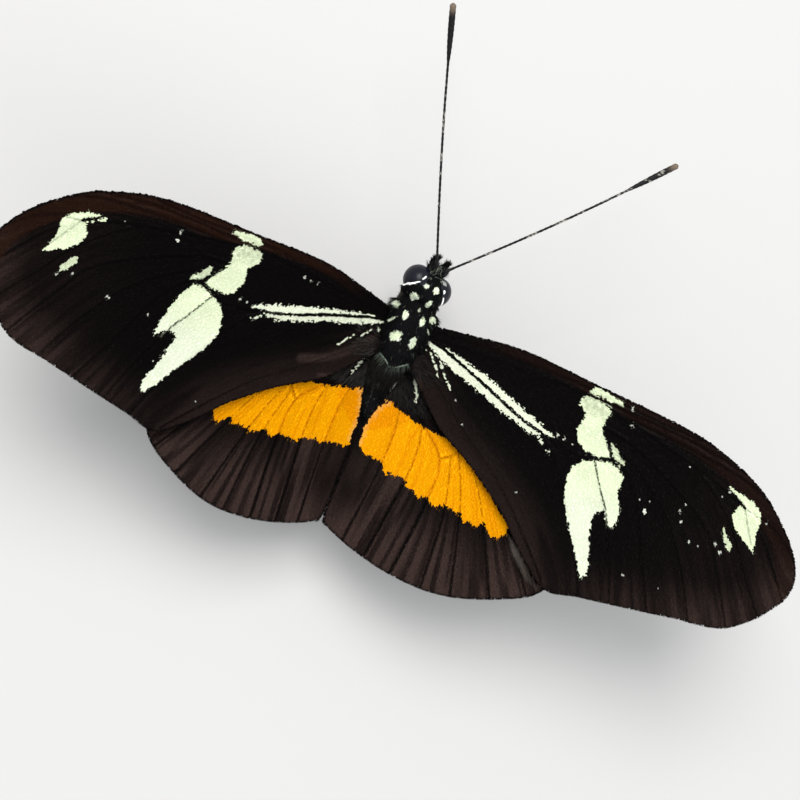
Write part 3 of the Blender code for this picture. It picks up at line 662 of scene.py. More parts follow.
def paint_hindwing(side, points, veins, face):
    """Colours of a hindwing at these spots, on its upper or lower face."""
    x, y = points[:, 0], points[:, 1]
    margin = nearest(points, HINDWING["edge"])[0]
    broad, thread = rayed(points, veins, 14)
    outer = np.maximum(ramp(-y + 0.1 * x, 12.5, 18.5), 0.8 * ramp(-y, 9.5, 12.0) * (1 - ramp(x, 1.5, 6.5)))
    thin = (0.08 + 0.82 * outer) * (0.1 + 0.8 * broad + 0.5 * thread)
    colour = mix(VELVET, BROWN * 1.15, np.clip(thin, 0, 1.0))
    if face < 0:
        colour = mix(colour, UNDER_BROWN, 0.7)
    near = np.minimum(veins["first"], veins["bridge"])
    colour = mix(colour, VELVET * 0.6, (1 - ramp(near, 0.06, 0.2)) * 0.9)
    teeth = 0.3 * (1 - ramp(veins["first"], 0.0, 0.5))
    depth = mark_depth(ORANGE_PATCH, side, points, teeth=0.21) - teeth * (y < -10)
    if face > 0:
        lines = noise(veins["ray"] * 3.1, np.hypot(x, y) * 0.1, 1.0, 18)
        flame = mix(ORANGE, ORANGE * np.array((0.92, 0.8, 0.8)), ramp(lines, 0.45, 0.8))
        flame = mix(flame, ORANGE_RIM, (1 - ramp(depth, 0.05, 0.45)) * 0.45 * (x < -0.3) * (y > -10.4))
        flame = mix(flame, ORANGE * np.array((0.45, 0.3, 0.3)), (1 - ramp(near, 0.02, 0.075)) * 0.75)
        colour = mix(colour, flame, depth > 0)
        dashes = paint_base_dashes(HINDWING_DASHES[side], points, 0.11, 0.66, 19)
        colour = mix(colour, STREAK_CREAM * 0.9, dashes)
        wedge = ramp(within(points, np.array(GREY_WEDGE)), -0.1, 0.3) * (depth < 0) * (side == RIGHT)
        wedge *= 1 - 0.8 * ramp(x, 13.6, 17.0)
        colour = mix(colour, linear(136, 126, 118), wedge * 0.85 * (0.4 + 0.6 * thread))
    else:
        ray_mark = (depth > 0.5) & (thread > 0.55)
        colour = mix(colour, ORANGE * 0.35, ray_mark * 0.6)
        for red_x, red_y in ((1.0, -3.6), (1.4, -4.6), (0.6, -5.6)):
            colour = mix(colour, UNDER_RED, np.hypot(x - red_x, y - red_y) < 0.4)
        costal = nearest(points, smooth_line(HINDWING["front"][9:13], LINE_STEP))[0]
        colour = mix(colour, UNDER_YELLOW, (costal < 0.55) & (x < 7.5))
    rim = 1 - ramp(margin, 0.1, 0.3)
    colour = mix(colour, VELVET * 0.5, rim * (depth < 0))
    return colour


PAINTERS = {"forewing": (FOREWING, paint_forewing), "hindwing": (HINDWING, paint_hindwing)}
print("two wing painters are ready")

# %% [markdown]
# A membrane starts as a flat grid. Its left and right columns slide along the front and back
# edges of the wing, and the rows fill the space between. Then a copy is pushed down to make the
# lower face, and both faces take their relief from the veins. The membrane stops a little short
# of the wing's outline, where the fringe takes over.

# %% Wing membranes
CELL = 0.24
FRINGE_INSET = 0.22


def new_object(name, mesh, finish, slot, *nodes):
    """A finished piece of the butterfly, in place, that stands for some nodes of the solids."""
    mesh.name = name
    mesh.materials.append(finish)
    obj = bpy.data.objects.new(name, mesh)
    scene.collection.objects.link(obj)
    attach(obj, "root")
    if nodes:
        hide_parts(*nodes)
    return obj


def store_tint(mesh, colours):
    """Keep a colour for each vertex in the attribute that the finishes read."""
    colours = np.clip(np.asarray(colours), 0.0, 1.0)
    layer = mesh.color_attributes.new("tint", "FLOAT_COLOR", "POINT")
    solid = np.column_stack([colours, np.ones(len(colours))])
    layer.data.foreach_set("color", solid.astype(np.float32).ravel())


def read_points(mesh):
    """A mesh's vertices as rows of x, y, z."""
    flat = np.zeros(len(mesh.vertices) * 3)
    mesh.vertices.foreach_get("co", flat)
    return flat.reshape(-1, 3)


def edge_spots(line, shares):
    """Places on a line at these shares of its length."""
    steps = np.hypot(*np.diff(line, axis=0).T)
    run = np.concatenate([[0.0], np.cumsum(steps)])
    run /= run[-1]
    return np.column_stack([np.interp(shares, run, line[:, k]) for k in (0, 1)])


def inset_spots(plan, spots):
    """Spots on or near a wing's free edge, drawn in to leave room for the fringe."""
    depth = within(spots, plan["edge"])
    probe = 0.05
    slope = np.column_stack([
        within(spots + (probe, 0), plan["edge"]) - within(spots - (probe, 0), plan["edge"]),
        within(spots + (0, probe), plan["edge"]) - within(spots - (0, probe), plan["edge"])])
    slope /= np.linalg.norm(slope, axis=1)[:, None] + 1e-9
    pull = np.clip(FRINGE_INSET - depth, 0, FRINGE_INSET) * (spots[:, 0] > 0.3 if plan is FOREWING else 1.0)
    return spots + slope * pull[:, None]


def face_out(bm):
    """Turn the faces of closed bodies outwards."""
    bmesh.ops.recalc_face_normals(bm, faces=bm.faces)
    if bm.calc_volume(signed=True) < 0:
        bmesh.ops.reverse_faces(bm, faces=bm.faces)


def build_membrane(kind, hand, side):
    """One wing's membrane, with ridged veins on both faces."""
    plan, paint = PAINTERS[kind]
    front, back = plan["ahead"], plan["behind"]
    columns = int(np.hypot(*np.diff(front, axis=0).T).sum() / CELL)
    rows = int((front[:, 1].max() - back[:, 1].min()) / CELL * 0.72)
    bm = bmesh.new()
    bmesh.ops.create_grid(bm, x_segments=columns, y_segments=rows, size=0.5)
    flat = np.array([vert.co[:2] for vert in bm.verts]) + 0.5
    shares = 0.5 - 0.5 * np.cos(pi * flat[:, 0] ** 0.8) if kind == "hindwing" else flat[:, 0] ** 0.97
    ahead = edge_spots(front, shares)
    behind = edge_spots(back, shares)
    spots = ahead + (behind - ahead) * flat[:, 1:2]
    spots = inset_spots(plan, spots)
    for vert, spot in zip(bm.verts, spots):
        vert.co = (*spot, 0.0)
    bmesh.ops.remove_doubles(bm, verts=bm.verts, dist=0.01)
    lower = bmesh.ops.extrude_face_region(bm, geom=bm.faces[:])
    bottom = {v for v in lower["geom"] if isinstance(v, bmesh.types.BMVert)}
    bm.verts.index_update()
    spots = np.array([vert.co[:2] for vert in bm.verts])
    under = np.array([vert in bottom for vert in bm.verts])
    veins = read_veins(plan, spots)
    face = np.where(under, -1.0, 1.0)
    lifted = wing_point(plan, side, spots, veins, face)
    for vert, place in zip(bm.verts, lifted):
        vert.co = place
    face_out(bm)
    mesh = bpy.data.meshes.new(kind)
    bm.to_mesh(mesh)
    bm.free()
    colours = np.where(under[:, None], paint(side, spots, veins, -1), paint(side, spots, veins, 1)) * 0.8
    store_tint(mesh, colours)
    mesh.transform(TO_WORLD)
    mesh.shade_smooth()
    name = f"{kind}_{hand}"
    obj = new_object(name + "_membrane", mesh, FINISH["membrane"], kind + "_scales", name)
    print(obj.name, len(mesh.polygons), "faces")
    return obj


for side, hand in SIDES:
    for kind in PAINTERS:
        build_membrane(kind, hand, side)

# %% [markdown]
# Every scale is the same small plate, a wedge with a pointed root and a rounded, toothed tip. It is
# a five-sided cone turned over, with its point sunk into the membrane. Copies are laid by
# arithmetic on arrays, which is quick even for tens of thousands, and joined in one mesh. Each
# copy also gets a small patch of the map named OFBake, at its own place on the wing. The rim of so
# thin a plate would shade it like a bead, so a scale is shaded by the wing's own normal instead.

# %% Templates for scales and hairs
def template(sides, shape):
    """Vertices and triangles of a closed cone whose points are moved by a function."""
    bm = bmesh.new()
    bmesh.ops.create_cone(bm, cap_ends=True, segments=sides, radius1=1.0, radius2=0.0, depth=1.0)
    shape(bm)
    bmesh.ops.triangulate(bm, faces=bm.faces)
    face_out(bm)
    bm.verts.index_update()
    points = np.array([vert.co[:] for vert in bm.verts])
    faces = np.array([[vert.index for vert in face.verts] for face in bm.faces])
    bm.free()
    return points, faces


PLATE_OUTLINE = [(0.0, 0.0), (0.5, 0.46), (0.92, 0.3), (0.92, -0.3), (0.5, -0.46)]


def shape_plate(bm):
    """Cap upwards as the plate's face: x runs out from the root, y across, z up."""
    cap = sorted((v for v in bm.verts if v.co.z < 0), key=lambda v: np.arctan2(v.co.y, v.co.x))
    for vert, (x, y) in zip(cap, PLATE_OUTLINE):
        vert.co = (x, y, 0.0)
    apex = next(v for v in bm.verts if v.co.z > 0)
    apex.co = (0.45, 0.0, -1.0)


def shape_hair(bm):
    """A hair along x: a three-sided foot, a ring at its middle and a point."""
    whole = bm.verts[:] + bm.edges[:] + bm.faces[:]
    bmesh.ops.bisect_plane(bm, geom=whole, plane_co=(0, 0, 0.0), plane_no=(0, 0, 1))
    for vert in bm.verts:
        x, y, z = vert.co
        along = z + 0.5
        swell = 1.5 if 0.2 < along < 0.8 else 1.0
        vert.co = (along, y * swell * 0.5, x * swell * 0.5)


PLATE = template(5, shape_plate)
HAIR = template(3, shape_hair)
print("a scale has", len(PLATE[1]), "triangles and a hair", len(HAIR[1]))


TUFT_PATCH = 0.003


def lay(name, shape, roots, axes, sizes, bend, tints, unwrap):
    """Copies of a template in one mesh, each with its own place, axes, length, width and thickness."""
    points, faces = shape
    count = len(roots)
    along, across, up = (axis[:, None, :] for axis in axes)
    length, width, thick = (np.broadcast_to(size, count)[:, None, None] for size in sizes)
    t = points[:, 0]
    co = roots[:, None, :] + along * (t[None, :, None] * length)
    co = co + across * (points[:, 1][None, :, None] * width)
    co = co + up * (points[:, 2][None, :, None] * thick)
    co = co + up * ((t * t)[None, :, None] * (bend * length))
    mesh = bpy.data.meshes.new(name)
    mesh.vertices.add(count * len(points))
    mesh.vertices.foreach_set("co", co.astype(np.float32).ravel())
    corners = (faces[None] + (np.arange(count) * len(points))[:, None, None]).reshape(-1)
    mesh.loops.add(len(corners))
    mesh.loops.foreach_set("vertex_index", corners.astype(np.int32))
    mesh.polygons.add(len(corners) // 3)
    mesh.polygons.foreach_set("loop_start", np.arange(0, len(corners), 3, dtype=np.int32))
    mesh.update(calc_edges=True)
    local = np.column_stack([t - 0.5, points[:, 1]]) * TUFT_PATCH
    uv = (unwrap[:, None, :] + local[None]).reshape(-1, 2)[corners]
    mesh.uv_layers.new(name="OFBake").data.foreach_set("uv", uv.astype(np.float32).ravel())
    store_tint(mesh, np.repeat(tints, len(points), axis=0))
    mesh.transform(TO_WORLD)
    if shape is PLATE:
        mesh.normals_split_custom_set_from_vertices(np.repeat(axes[2], len(points), axis=0))
    return mesh


# %% [markdown]
# Scales sit in rows like roof tiles, and each row points away from the hinge. We start from a
# staggered lattice of roots, shake it, and keep the roots inside the wing's outline. A scale takes
# the colour of the pattern under the part of it that shows, so the edges of the marks come out
# toothed by whole scales, as they are on the real wing.

# %% Wing scales
SCALE_LENGTH = 0.26
SCALE_WIDTH = 0.155
ROW_STEP = 0.155
COLUMN_STEP = 0.105
SCALE_LIFT = 0.03
PLATE_THICKNESS = 0.03
SCALE_TONE = 0.53
SCALE_BEND = -0.04
SCALE_SWING = radians(9)
UNDER_SIZE = 1.8
MOST_SCALES = 24000
UNWRAP_CORNER = (3.0, 21.0)
UNWRAP_SIZE = 44.0


def wing_unwrap(spots):
    """A wing's flat plan is its own unwrap."""
    return (spots + UNWRAP_CORNER) / UNWRAP_SIZE


def scale_roots(plan, row_step, column_step, random):
    """A shaken, staggered lattice of spots inside a wing's outline."""
    low = plan["edge"].min(0)
    high = plan["edge"].max(0)
    columns = int((high[0] - low[0]) / row_step)
    rows = int((high[1] - low[1]) / column_step)
    i, j = (grid.ravel() for grid in np.meshgrid(np.arange(columns), np.arange(rows)))
    spots = np.column_stack([low[0] + (i + 0.5 * (j % 2)) * row_step, low[1] + j * column_step])
    spots += random.uniform(-0.3, 0.3, spots.shape) * (row_step, column_step)
    return spots[within(spots, plan["edge"]) > 0.12]


def swung(directions, angle):
    """Flat directions, each swung by its own angle."""
    x, y = directions.T
    return np.column_stack([x * np.cos(angle) - y * np.sin(angle), x * np.sin(angle) + y * np.cos(angle)])


def surface_frame(plan, side, spots, veins, face):
    """Roots on the wing's surface with the directions along, across and out of it."""
    reach = 0.12
    lie = veins["lie"]
    turned = np.column_stack([-lie[:, 1], lie[:, 0]])
    steps = [spots, spots + lie * reach, spots + turned * reach]
    lifted = [wing_point(plan, side, s, read_veins(plan, s), face) for s in steps]
    along = lifted[1] - lifted[0]
    across = lifted[2] - lifted[0]
    along /= np.linalg.norm(along, axis=1)[:, None]
    up = np.cross(along, across)
    up /= np.linalg.norm(up, axis=1)[:, None]
    up *= np.sign(up[:, 2:3]) * face
    across = np.cross(up, along)
    return lifted[0], along, across, up


def lay_scales(kind, hand, side, face, size):
    """One face of one wing, covered in scales, in pieces of a size that exports whole."""
    plan, paint = PAINTERS[kind]
    random = np.random.default_rng(40 + side * 2 + face * 5 + (9 if kind == "hindwing" else 0))
    spots = scale_roots(plan, ROW_STEP * size, COLUMN_STEP * size, random)
    lie = swung(read_veins(plan, spots)["lie"], random.normal(0.0, SCALE_SWING, len(spots)))
    length = SCALE_LENGTH * size * random.uniform(0.85, 1.15, len(spots))
    fits = within(spots + lie * length[:, None], plan["edge"]) > 0.05
    spots, lie, length = spots[fits], lie[fits], length[fits]
    veins = read_veins(plan, spots)
    veins["lie"] = lie
    roots, along, across, up = surface_frame(plan, side, spots, veins, face)
    shown = spots + lie * 0.7 * length[:, None]
    tints = paint(side, shown, read_veins(plan, shown), face)
    pale = tints.mean(axis=1) > 0.12
    tints = tints * SCALE_TONE * random.normal(1.0, np.where(pale, 0.03, 0.1)[:, None], (len(spots), 1))
    width = SCALE_WIDTH * size * random.uniform(0.85, 1.15, len(spots))
    lift = SCALE_LIFT * random.uniform(0.6, 1.3, len(spots))
    along = along + up * (lift / length)[:, None]
    unwrap = wing_unwrap(spots)
    face_name = "top" if face > 0 else "under"
    pieces = int(np.ceil(len(spots) / MOST_SCALES))
    order = np.argsort(spots[:, 0], kind="stable")
    for number, chosen in enumerate(np.array_split(order, pieces)):
        name = f"{kind}_{hand}_scales_{face_name}_{number + 1}"
        mesh = lay(name, PLATE, roots[chosen], [axis[chosen] for axis in (along, across, up)],
                   (length[chosen], width[chosen], PLATE_THICKNESS), SCALE_BEND, tints[chosen],
                   unwrap[chosen])
        new_object(name, mesh, FINISH["scale"], kind + "_scales", f"{kind}_{hand}")
    print(kind, hand, face_name, len(spots), "scales in", pieces, "pieces")


for side, hand in SIDES:
    for kind in PAINTERS:
        lay_scales(kind, hand, side, 1, 1.0)
        lay_scales(kind, hand, side, -1, UNDER_SIZE)

# %% [markdown]
# Along the free edge stands the fringe, a single rank of long narrow scales that point straight
# out. Over the abdomen the two hindwings meet, and there the fringes are longer and cross a little,
# so that no light falls through the seam.

# %% Fringe
FRINGE_LENGTH = 0.38
FRINGE_WIDTH = 0.07
FRINGE_THICKNESS = 0.025
FRINGE_ROOT = 0.36
FRINGE_STEP = 0.024
SEAM_X = -1.5


def lay_fringe(kind, hand, side):
    """Narrow scales along a wing's free edge."""
    plan, paint = PAINTERS[kind]
    random = np.random.default_rng(70 + side + (5 if kind == "hindwing" else 0))
    margin = plan["edge"]
    shares = np.arange(0.004, 0.996, FRINGE_STEP / np.hypot(*np.diff(margin, axis=0).T).sum())
    spots = edge_spots(margin, shares)
    heading = unit_rows(edge_spots(margin, shares + 0.002) - spots)
    outward = np.column_stack([-heading[:, 1], heading[:, 0]])
    wrong = within(spots + outward * 0.2, margin) > 0
    outward[wrong] *= -1
    free = spots[:, 0] > 0.4 if kind == "forewing" else (spots[:, 0] > 0.4) | (spots[:, 1] < -5.2)
    spots, outward = spots[free], outward[free]
    spots = spots - outward * FRINGE_ROOT
    turned = swung(outward, random.normal(0.0, radians(10), len(spots)))
    size = FRINGE_LENGTH * random.uniform(0.75, 0.98, len(spots))
    seam = spots[:, 0] < SEAM_X
    size[seam] *= 1.25
    fits = within(spots + turned * size[:, None], margin) > np.where(seam, -0.1, 0.03)
    spots, turned, size = spots[fits], turned[fits], size[fits]
    veins = read_veins(plan, spots)
    veins["lie"] = turned
    level = random.uniform(-0.08, 0.02, len(spots))
    roots, along, across, up = surface_frame(plan, side, spots, veins, 1)
    roots = roots + up * level[:, None]
    tints = mix(VELVET * 0.7, BROWN * 0.8, 0.35 * random.random(len(spots))) * SCALE_TONE
    mesh = lay("fringe", PLATE, roots, (along, across, up), (size, FRINGE_WIDTH, FRINGE_THICKNESS), 0.0,
               tints, wing_unwrap(spots))
    new_object(f"{kind}_{hand}_fringe", mesh, FINISH["scale"], kind + "_scales", f"{kind}_{hand}")
    print(kind, hand, len(spots), "fringe scales")


for side, hand in SIDES:
    for kind in PAINTERS:
        lay_fringe(kind, hand, side)

# %% [markdown]
# Near the body the wings carry hair: long and silky over the hindwing's root, shorter on the hind
# part of the forewing's. It fans out from the hinge, thins with the distance, and keeps clear of
# the pale dashes, the streak and the orange, which would drown in it.

# %% Hair on the wing roots
ROOT_HAIRS = {
    "forewing": (420, (-0.3, 2.4), (-3.2, -0.7), 0.7),
    "hindwing": (1900, (-1.9, 3.0), (-5.8, -2.6), 1.15),
}


def nearness(spots):
    """1 at a wing's root, and 0 from six millimetres out."""
    return 1 - np.clip(np.hypot(spots[:, 0], spots[:, 1] + 2.5) / 6.0, 0, 1)


def lay_root_hair(kind, hand, side):
    """Silky hair over a wing's root, denser and longer near the body."""
    plan, _ = PAINTERS[kind]
    random = np.random.default_rng(90 + side + (3 if kind == "hindwing" else 0))
    count, span_x, span_y, longest = ROOT_HAIRS[kind]
    spots = np.column_stack([random.uniform(*span_x, count * 3), random.uniform(*span_y, count * 3)])
    keep = (within(spots, plan["edge"]) > 0.15) & (random.random(len(spots)) < nearness(spots) ** 1.2)
    spots = spots[keep][:count]
    outward = unit_rows(spots - np.array((-1.5, -1.6)))
    lie = swung(outward, random.normal(0.0, radians(13), len(spots)))
    length = longest * (0.45 + 0.75 * nearness(spots)) * random.uniform(0.7, 1.2, len(spots))
    tips = spots + lie * length[:, None]
    clear = within(tips, plan["edge"]) > 0.0
    if kind == "hindwing":
        clear &= mark_depth(ORANGE_PATCH, side, tips) < 0.1
    else:
        clear &= ~paint_streak(side, tips) & ~paint_streak(side, spots)
    for line in (HINDWING_DASHES if kind == "hindwing" else FOREWING_DASHES)[side]:
        for share in (0.0, 0.5, 1.0):
            clear &= nearest(spots + (tips - spots) * share, np.array(line))[0] > 0.2
    spots, lie, length = spots[clear], lie[clear], length[clear]
    veins = read_veins(plan, spots)
    veins["lie"] = lie
    roots, along, across, up = surface_frame(plan, side, spots, veins, 1)
    along = along + up * random.uniform(0.06, 0.28, len(spots))[:, None] * 0.6
    # Grey root hairs are partly the hair's own grey and partly painted sheen. The left wing gets twice the
    # grey share, and that extra grey is painted sheen.
    grey = random.random(len(spots)) ** 1.5
    tints = mix(HAIR_BLACK * 1.2, HAIR_GREY_AND_SHEEN, grey * {LEFT: 0.42, RIGHT: 0.2}[side])
    thin = random.uniform(0.035, 0.055, len(spots))
    mesh = lay("hair", HAIR, roots, (along, across, up), (length, thin, thin), -0.06, tints,
               wing_unwrap(spots))
    new_object(f"{kind}_{hand}_root_hair", mesh, FINISH["hair"], "body_hair", f"{kind}_{hand}")
    print(kind, hand, len(spots), "root hairs")


for side, hand in SIDES:
    for kind in PAINTERS:
        lay_root_hair(kind, hand, side)

# %% [markdown]
# The body is one skin. Head, neck, thorax with its shoulder flaps and shield, waist and abdomen are
# first rounded lumps, each a ball pushed into the same egg as its solid and drawn in by the
# depth of the coat. A voxel remesh then melts them into a single surface, and a little smoothing
# takes the steps away.

# %% Body forms
THORAX = {"centre": (0.0, -0.4, -0.6), "half": (2.0, 3.95, 1.9, 3.2), "fullness": 3.4, "slope": 0.35}
HEAD = {"centre": (0.0, 0.0, 0.0), "half": (1.4, 1.55, 1.5, 1.5), "fullness": 2.2, "slope": 0.0}
HEAD_TURN = Matrix.Translation((0.21, 4.44, 0.1)) @ Matrix.Rotation(radians(-9.4), 4, "Z")
HEAD_LUMPS = [((-0.05, -1.12, 0.05), (1.95, 0.58, 1.38)), ((0.2, -0.05, 0.75), (0.8, 1.35, 0.65)),
              ((0.82, -0.3, 0.58), (0.8, 1.2, 0.88)), ((-0.85, -0.85, 0.5), (1.0, 0.8, 0.98)),
              ((0.0, 1.35, 0.2), (0.75, 0.55, 0.75))]
COAT_DEPTH = 0.16
ABDOMEN_SEGMENTS = 8


def egg_point(egg, direction, grow):
    """A point of the unit ball, moved onto the egg: fuller than an ellipsoid towards its ends."""
    across, along, above, below = (half + grow for half in egg["half"])
    s = max(-1.0, min(1.0, direction.y))
    ring = sqrt(max(0.0, 1.0 - s * s))
    full = sqrt(max(0.0, 1.0 - abs(s) ** egg["fullness"]))
    sideways = direction.x / ring if ring > 1e-6 else 0.0
    upwards = direction.z / ring if ring > 1e-6 else 0.0
    tall = above if upwards > 0 else below
    offset = Vector((across * full * sideways, along * s, tall * full * upwards + egg["slope"] * s))
    return Vector(egg["centre"]) + offset


def add_ball(bm, move, detail=4):
    """A ball whose points are moved by a function."""
    made = bmesh.ops.create_icosphere(bm, subdivisions=detail, radius=1.0)
    for vert in made["verts"]:
        vert.co = move(vert.co.normalized())


def lump(centre, half, turn_z=0.0, turn_x=0.0):
    """A rule that makes a turned, stretched ball."""
    turned = Matrix.Rotation(radians(turn_z), 3, "Z") @ Matrix.Rotation(radians(turn_x), 3, "X")
    return lambda unit: Vector(centre) + turned @ Vector([u * h for u, h in zip(unit, half)])


def abdomen_point(unit, grow):
    """The abdomen: a ball drawn out along a line that dips and droops, pinched between segments."""
    t = np.arccos(max(-1.0, min(1.0, unit.y))) / pi
    s = 1.0 - 2.0 * t
    ring = sqrt(max(1e-12, 1.0 - unit.y ** 2))
    waist = 0.62 + 0.38 * sin(min(1.0, t / 0.45) * pi / 2)
    furrow = 0.1 * (0.5 + 0.5 * cos(2 * pi * t * ABDOMEN_SEGMENTS)) ** 4
    radius = ((1.3 + grow) * waist - furrow) * sqrt(max(0.0, 1.0 - abs(s) ** 4.0))
    z = -2.3 - 1.75 * sin(min(1.0, t / 0.5) * pi / 2) - 1.5 * t * t
    around = Vector((unit.x, 0.0, unit.z)) / ring
    return Vector((0.0, -3.6 - 13.6 * t + 0.1 * s, z)) + around * radius


def soft_body():
    """The separate rounded forms of the body in one bmesh."""
    bm = bmesh.new()
    add_ball(bm, lambda unit: egg_point(THORAX, unit, -COAT_DEPTH), 5)
    add_ball(bm, lambda unit: HEAD_TURN @ egg_point(HEAD, unit, -COAT_DEPTH))
    add_ball(bm, lambda unit: abdomen_point(unit, -COAT_DEPTH), 5)
    add_ball(bm, lump((0.25, 2.95, -0.35), (1.7, 1.3, 1.28)))
    add_ball(bm, lump((0.28, -5.7, -2.1), (0.95, 2.2, 0.52)))
    for centre, half in HEAD_LUMPS:
        add_ball(bm, lambda unit, rule=lump(centre, half): HEAD_TURN @ rule(unit))
    add_ball(bm, lump((0.0, -3.9, -1.9), (1.15, 1.2, 0.95)))
    add_ball(bm, lump((0.0, -5.0, -2.5), (0.9, 1.3, 0.85)))
    add_ball(bm, lump((0.0, -2.75, 0.28), (0.85, 0.5, 0.32), turn_x=18))
    for side in (LEFT, RIGHT):
        add_ball(bm, lump((side * 0.62, 3.15, 0.32), (0.62, 0.42, 0.32), turn_z=side * -18, turn_x=-20))
        add_ball(bm, lump((side * 1.5, 0.5, 0.42), (0.5, 1.35, 0.36), turn_z=side * 9))
        add_ball(bm, lump((side * (1.69 + 0.06 * side), 1.9, 0.0), (0.58, 0.7, 0.42), turn_z=side * 20))
        add_ball(bm, lump((side * 1.35, -2.0, -0.55), (0.55, 1.1, 0.6), turn_z=side * -12))
        for y, z in ((1.6, -2.9), (0.0, -3.2), (-1.7, -3.1)):
            add_ball(bm, lump((side * 0.75, y, z), (0.5, 0.62, 0.5)))
    return bm


bm = soft_body()
body_lumps = bpy.data.meshes.new("body_lumps")
bm.to_mesh(body_lumps)
bm.free()
print("the body starts as", len(body_lumps.polygons), "faces of overlapping forms")

# %% [markdown]
# The remesh modifier works on an object, so a stand-in holds the lumps while it runs, and goes when
# the melted mesh has been read from it. Four rounds of smoothing leave soft dips where lumps met.

# %% One skin
VOXEL = 0.115
SKIN_SMOOTHING = 4


def melted(mesh, voxel, rounds):
    """Overlapping closed forms melted into one smooth surface."""
    holder = bpy.data.objects.new("melt", mesh)
    scene.collection.objects.link(holder)
    remesh = holder.modifiers.new("remesh", "REMESH")
    remesh.mode = "VOXEL"
    remesh.voxel_size = voxel
    evaluated = holder.evaluated_get(bpy.context.evaluated_depsgraph_get())
    skin = bpy.data.meshes.new_from_object(evaluated)
    bpy.data.objects.remove(holder)
    bm = bmesh.new()
    bm.from_mesh(skin)
    for _ in range(rounds):
        bmesh.ops.smooth_vert(bm, verts=bm.verts, factor=0.5,
                              use_axis_x=True, use_axis_y=True, use_axis_z=True)
    face_out(bm)
    bm.to_mesh(skin)
    bm.free()
    return skin


skin = melted(body_lumps, VOXEL, SKIN_SMOOTHING)
print("the skin has", len(skin.polygons), "faces")

# %% [markdown]
# The body wears the same livery as its hair: black, with pale green spots in pairs down the
# head and thorax, a white line behind each eye, a thin grey arc round the shield, and paler sides.
# Spots have a centre and two half sizes, across and along. Lines are routes with a half width.
# The belly of the abdomen is buff, which the photograph hides.

# %% Painting the body
SPOTS = [
    ((-0.25, 4.34), (0.28, 0.16), 1.0), ((0.72, 4.25), (0.24, 0.28), 1.0),
    ((-0.78, 3.12), (0.34, 0.26), 1.0), ((0.62, 2.99), (0.27, 0.28), 1.0),
    ((-0.86, 1.37), (0.26, 0.38), 1.0), ((0.75, 1.38), (0.29, 0.38), 1.0),
    ((-0.98, -0.6), (0.5, 0.44), 0.95), ((0.71, -0.62), (0.33, 0.48), 0.8),
    ((-1.86, 1.9), (0.34, 0.3), 0.7), ((1.8, 1.86), (0.3, 0.36), 0.75),
    ((0.08, 2.2), (0.12, 0.15), 0.5),
]
BODY_LINES = [([(-1.48, 0.9), (-1.88, 0.45), (-2.2, 0.0)], 0.1, 0.8),
              ([(1.6, 0.95), (1.95, 0.6), (2.24, 0.25)], 0.09, 0.45)]
SHIELD_ARC = [(-1.44, -2.38), (-0.72, -2.83), (-0.18, -3.19), (0.83, -2.6), (1.23, -2.31)]


def paint_body(points):
    """Colours of the body at these places of its own frame, and how pale each place is."""
    x, y, z = points.T
    plan = points[:, :2]
    shades = noise(x + z, y, 0.5, 21)
    colour = mix(HAIR_BLACK * 0.6, HAIR_BLACK * 1.45, shades)
    side_grey = ramp(np.abs(x), 1.2, 2.0) * ramp(-z, -0.5, 1.2) * (y > -4)
    colour = mix(colour, linear(66, 70, 56), side_grey * 0.5)
    rear = ramp(-y, 2.6, 3.6) * (1 - ramp(-y, 4.4, 6.0))
    colour = mix(colour, linear(52, 52, 48), rear * 0.35)
    way = np.clip((-y - 3.6) / 13.6, 0, 1)
    middle = -2.3 - 1.75 * np.sin(np.minimum(1.0, way / 0.5) * pi / 2) - 1.5 * way ** 2
    under = ramp(middle - z, 0.15, 1.0) * (y < -4)
    colour = mix(colour, linear(168, 156, 104), under * 0.55)
    pale = np.zeros(len(points))
    for (spot_x, spot_y), (half_x, half_y), strength in SPOTS:
        reach = np.hypot((x - spot_x) / half_x, (y - spot_y) / half_y)
        reach = reach + (noise(x, y, 0.16, 22) - 0.5) * 0.5
        pale = np.maximum(pale, (reach < 1.0) * strength * (z > -0.9))
    for line, width, strength in BODY_LINES:
        far = nearest(plan, np.array(line))[0]
        pale = np.maximum(pale, (far < width) * strength * (z > -0.6) * (noise(x, y, 0.2, 23) > 0.25))
    breast = (np.hypot((np.abs(x) - 1.35) / 0.35, (y - 0.6) / 0.6) < 1) & (z < -2.4)
    pale = np.maximum(pale, 0.8 * breast)
    livery = mix(CREAM, CREAM_WHITE, noise(x, y, 0.35, 25)) * np.array((0.86, 0.88, 0.86))
    return mix(colour, livery, pale), pale


skin_points = read_points(skin)
skin_colours, skin_pale = paint_body(skin_points)
store_tint(skin, skin_colours * 0.7)
print("pale part of the skin:", round(float(skin_pale.mean()), 3))

# %% [markdown]
# The coat follows the lie of a real one: back along the body, outward over the shoulders, fanning
# behind the shield and forward between the feelers. Roots are drawn from the skin's triangles by
# their area. Hairs within the eyes are left out. Hair on a pale spot is shorter and broader, like
# the scales there. The unwrap for the map runs round the body's axis.

# %% Body hair
EYE_CENTRE = Vector((1.04, 0.1, -0.05))
EYE_HALF = Vector((1.25, 1.32, 1.4))
HAIR_COUNT = 23000
HAIR_THICKNESS = 0.05


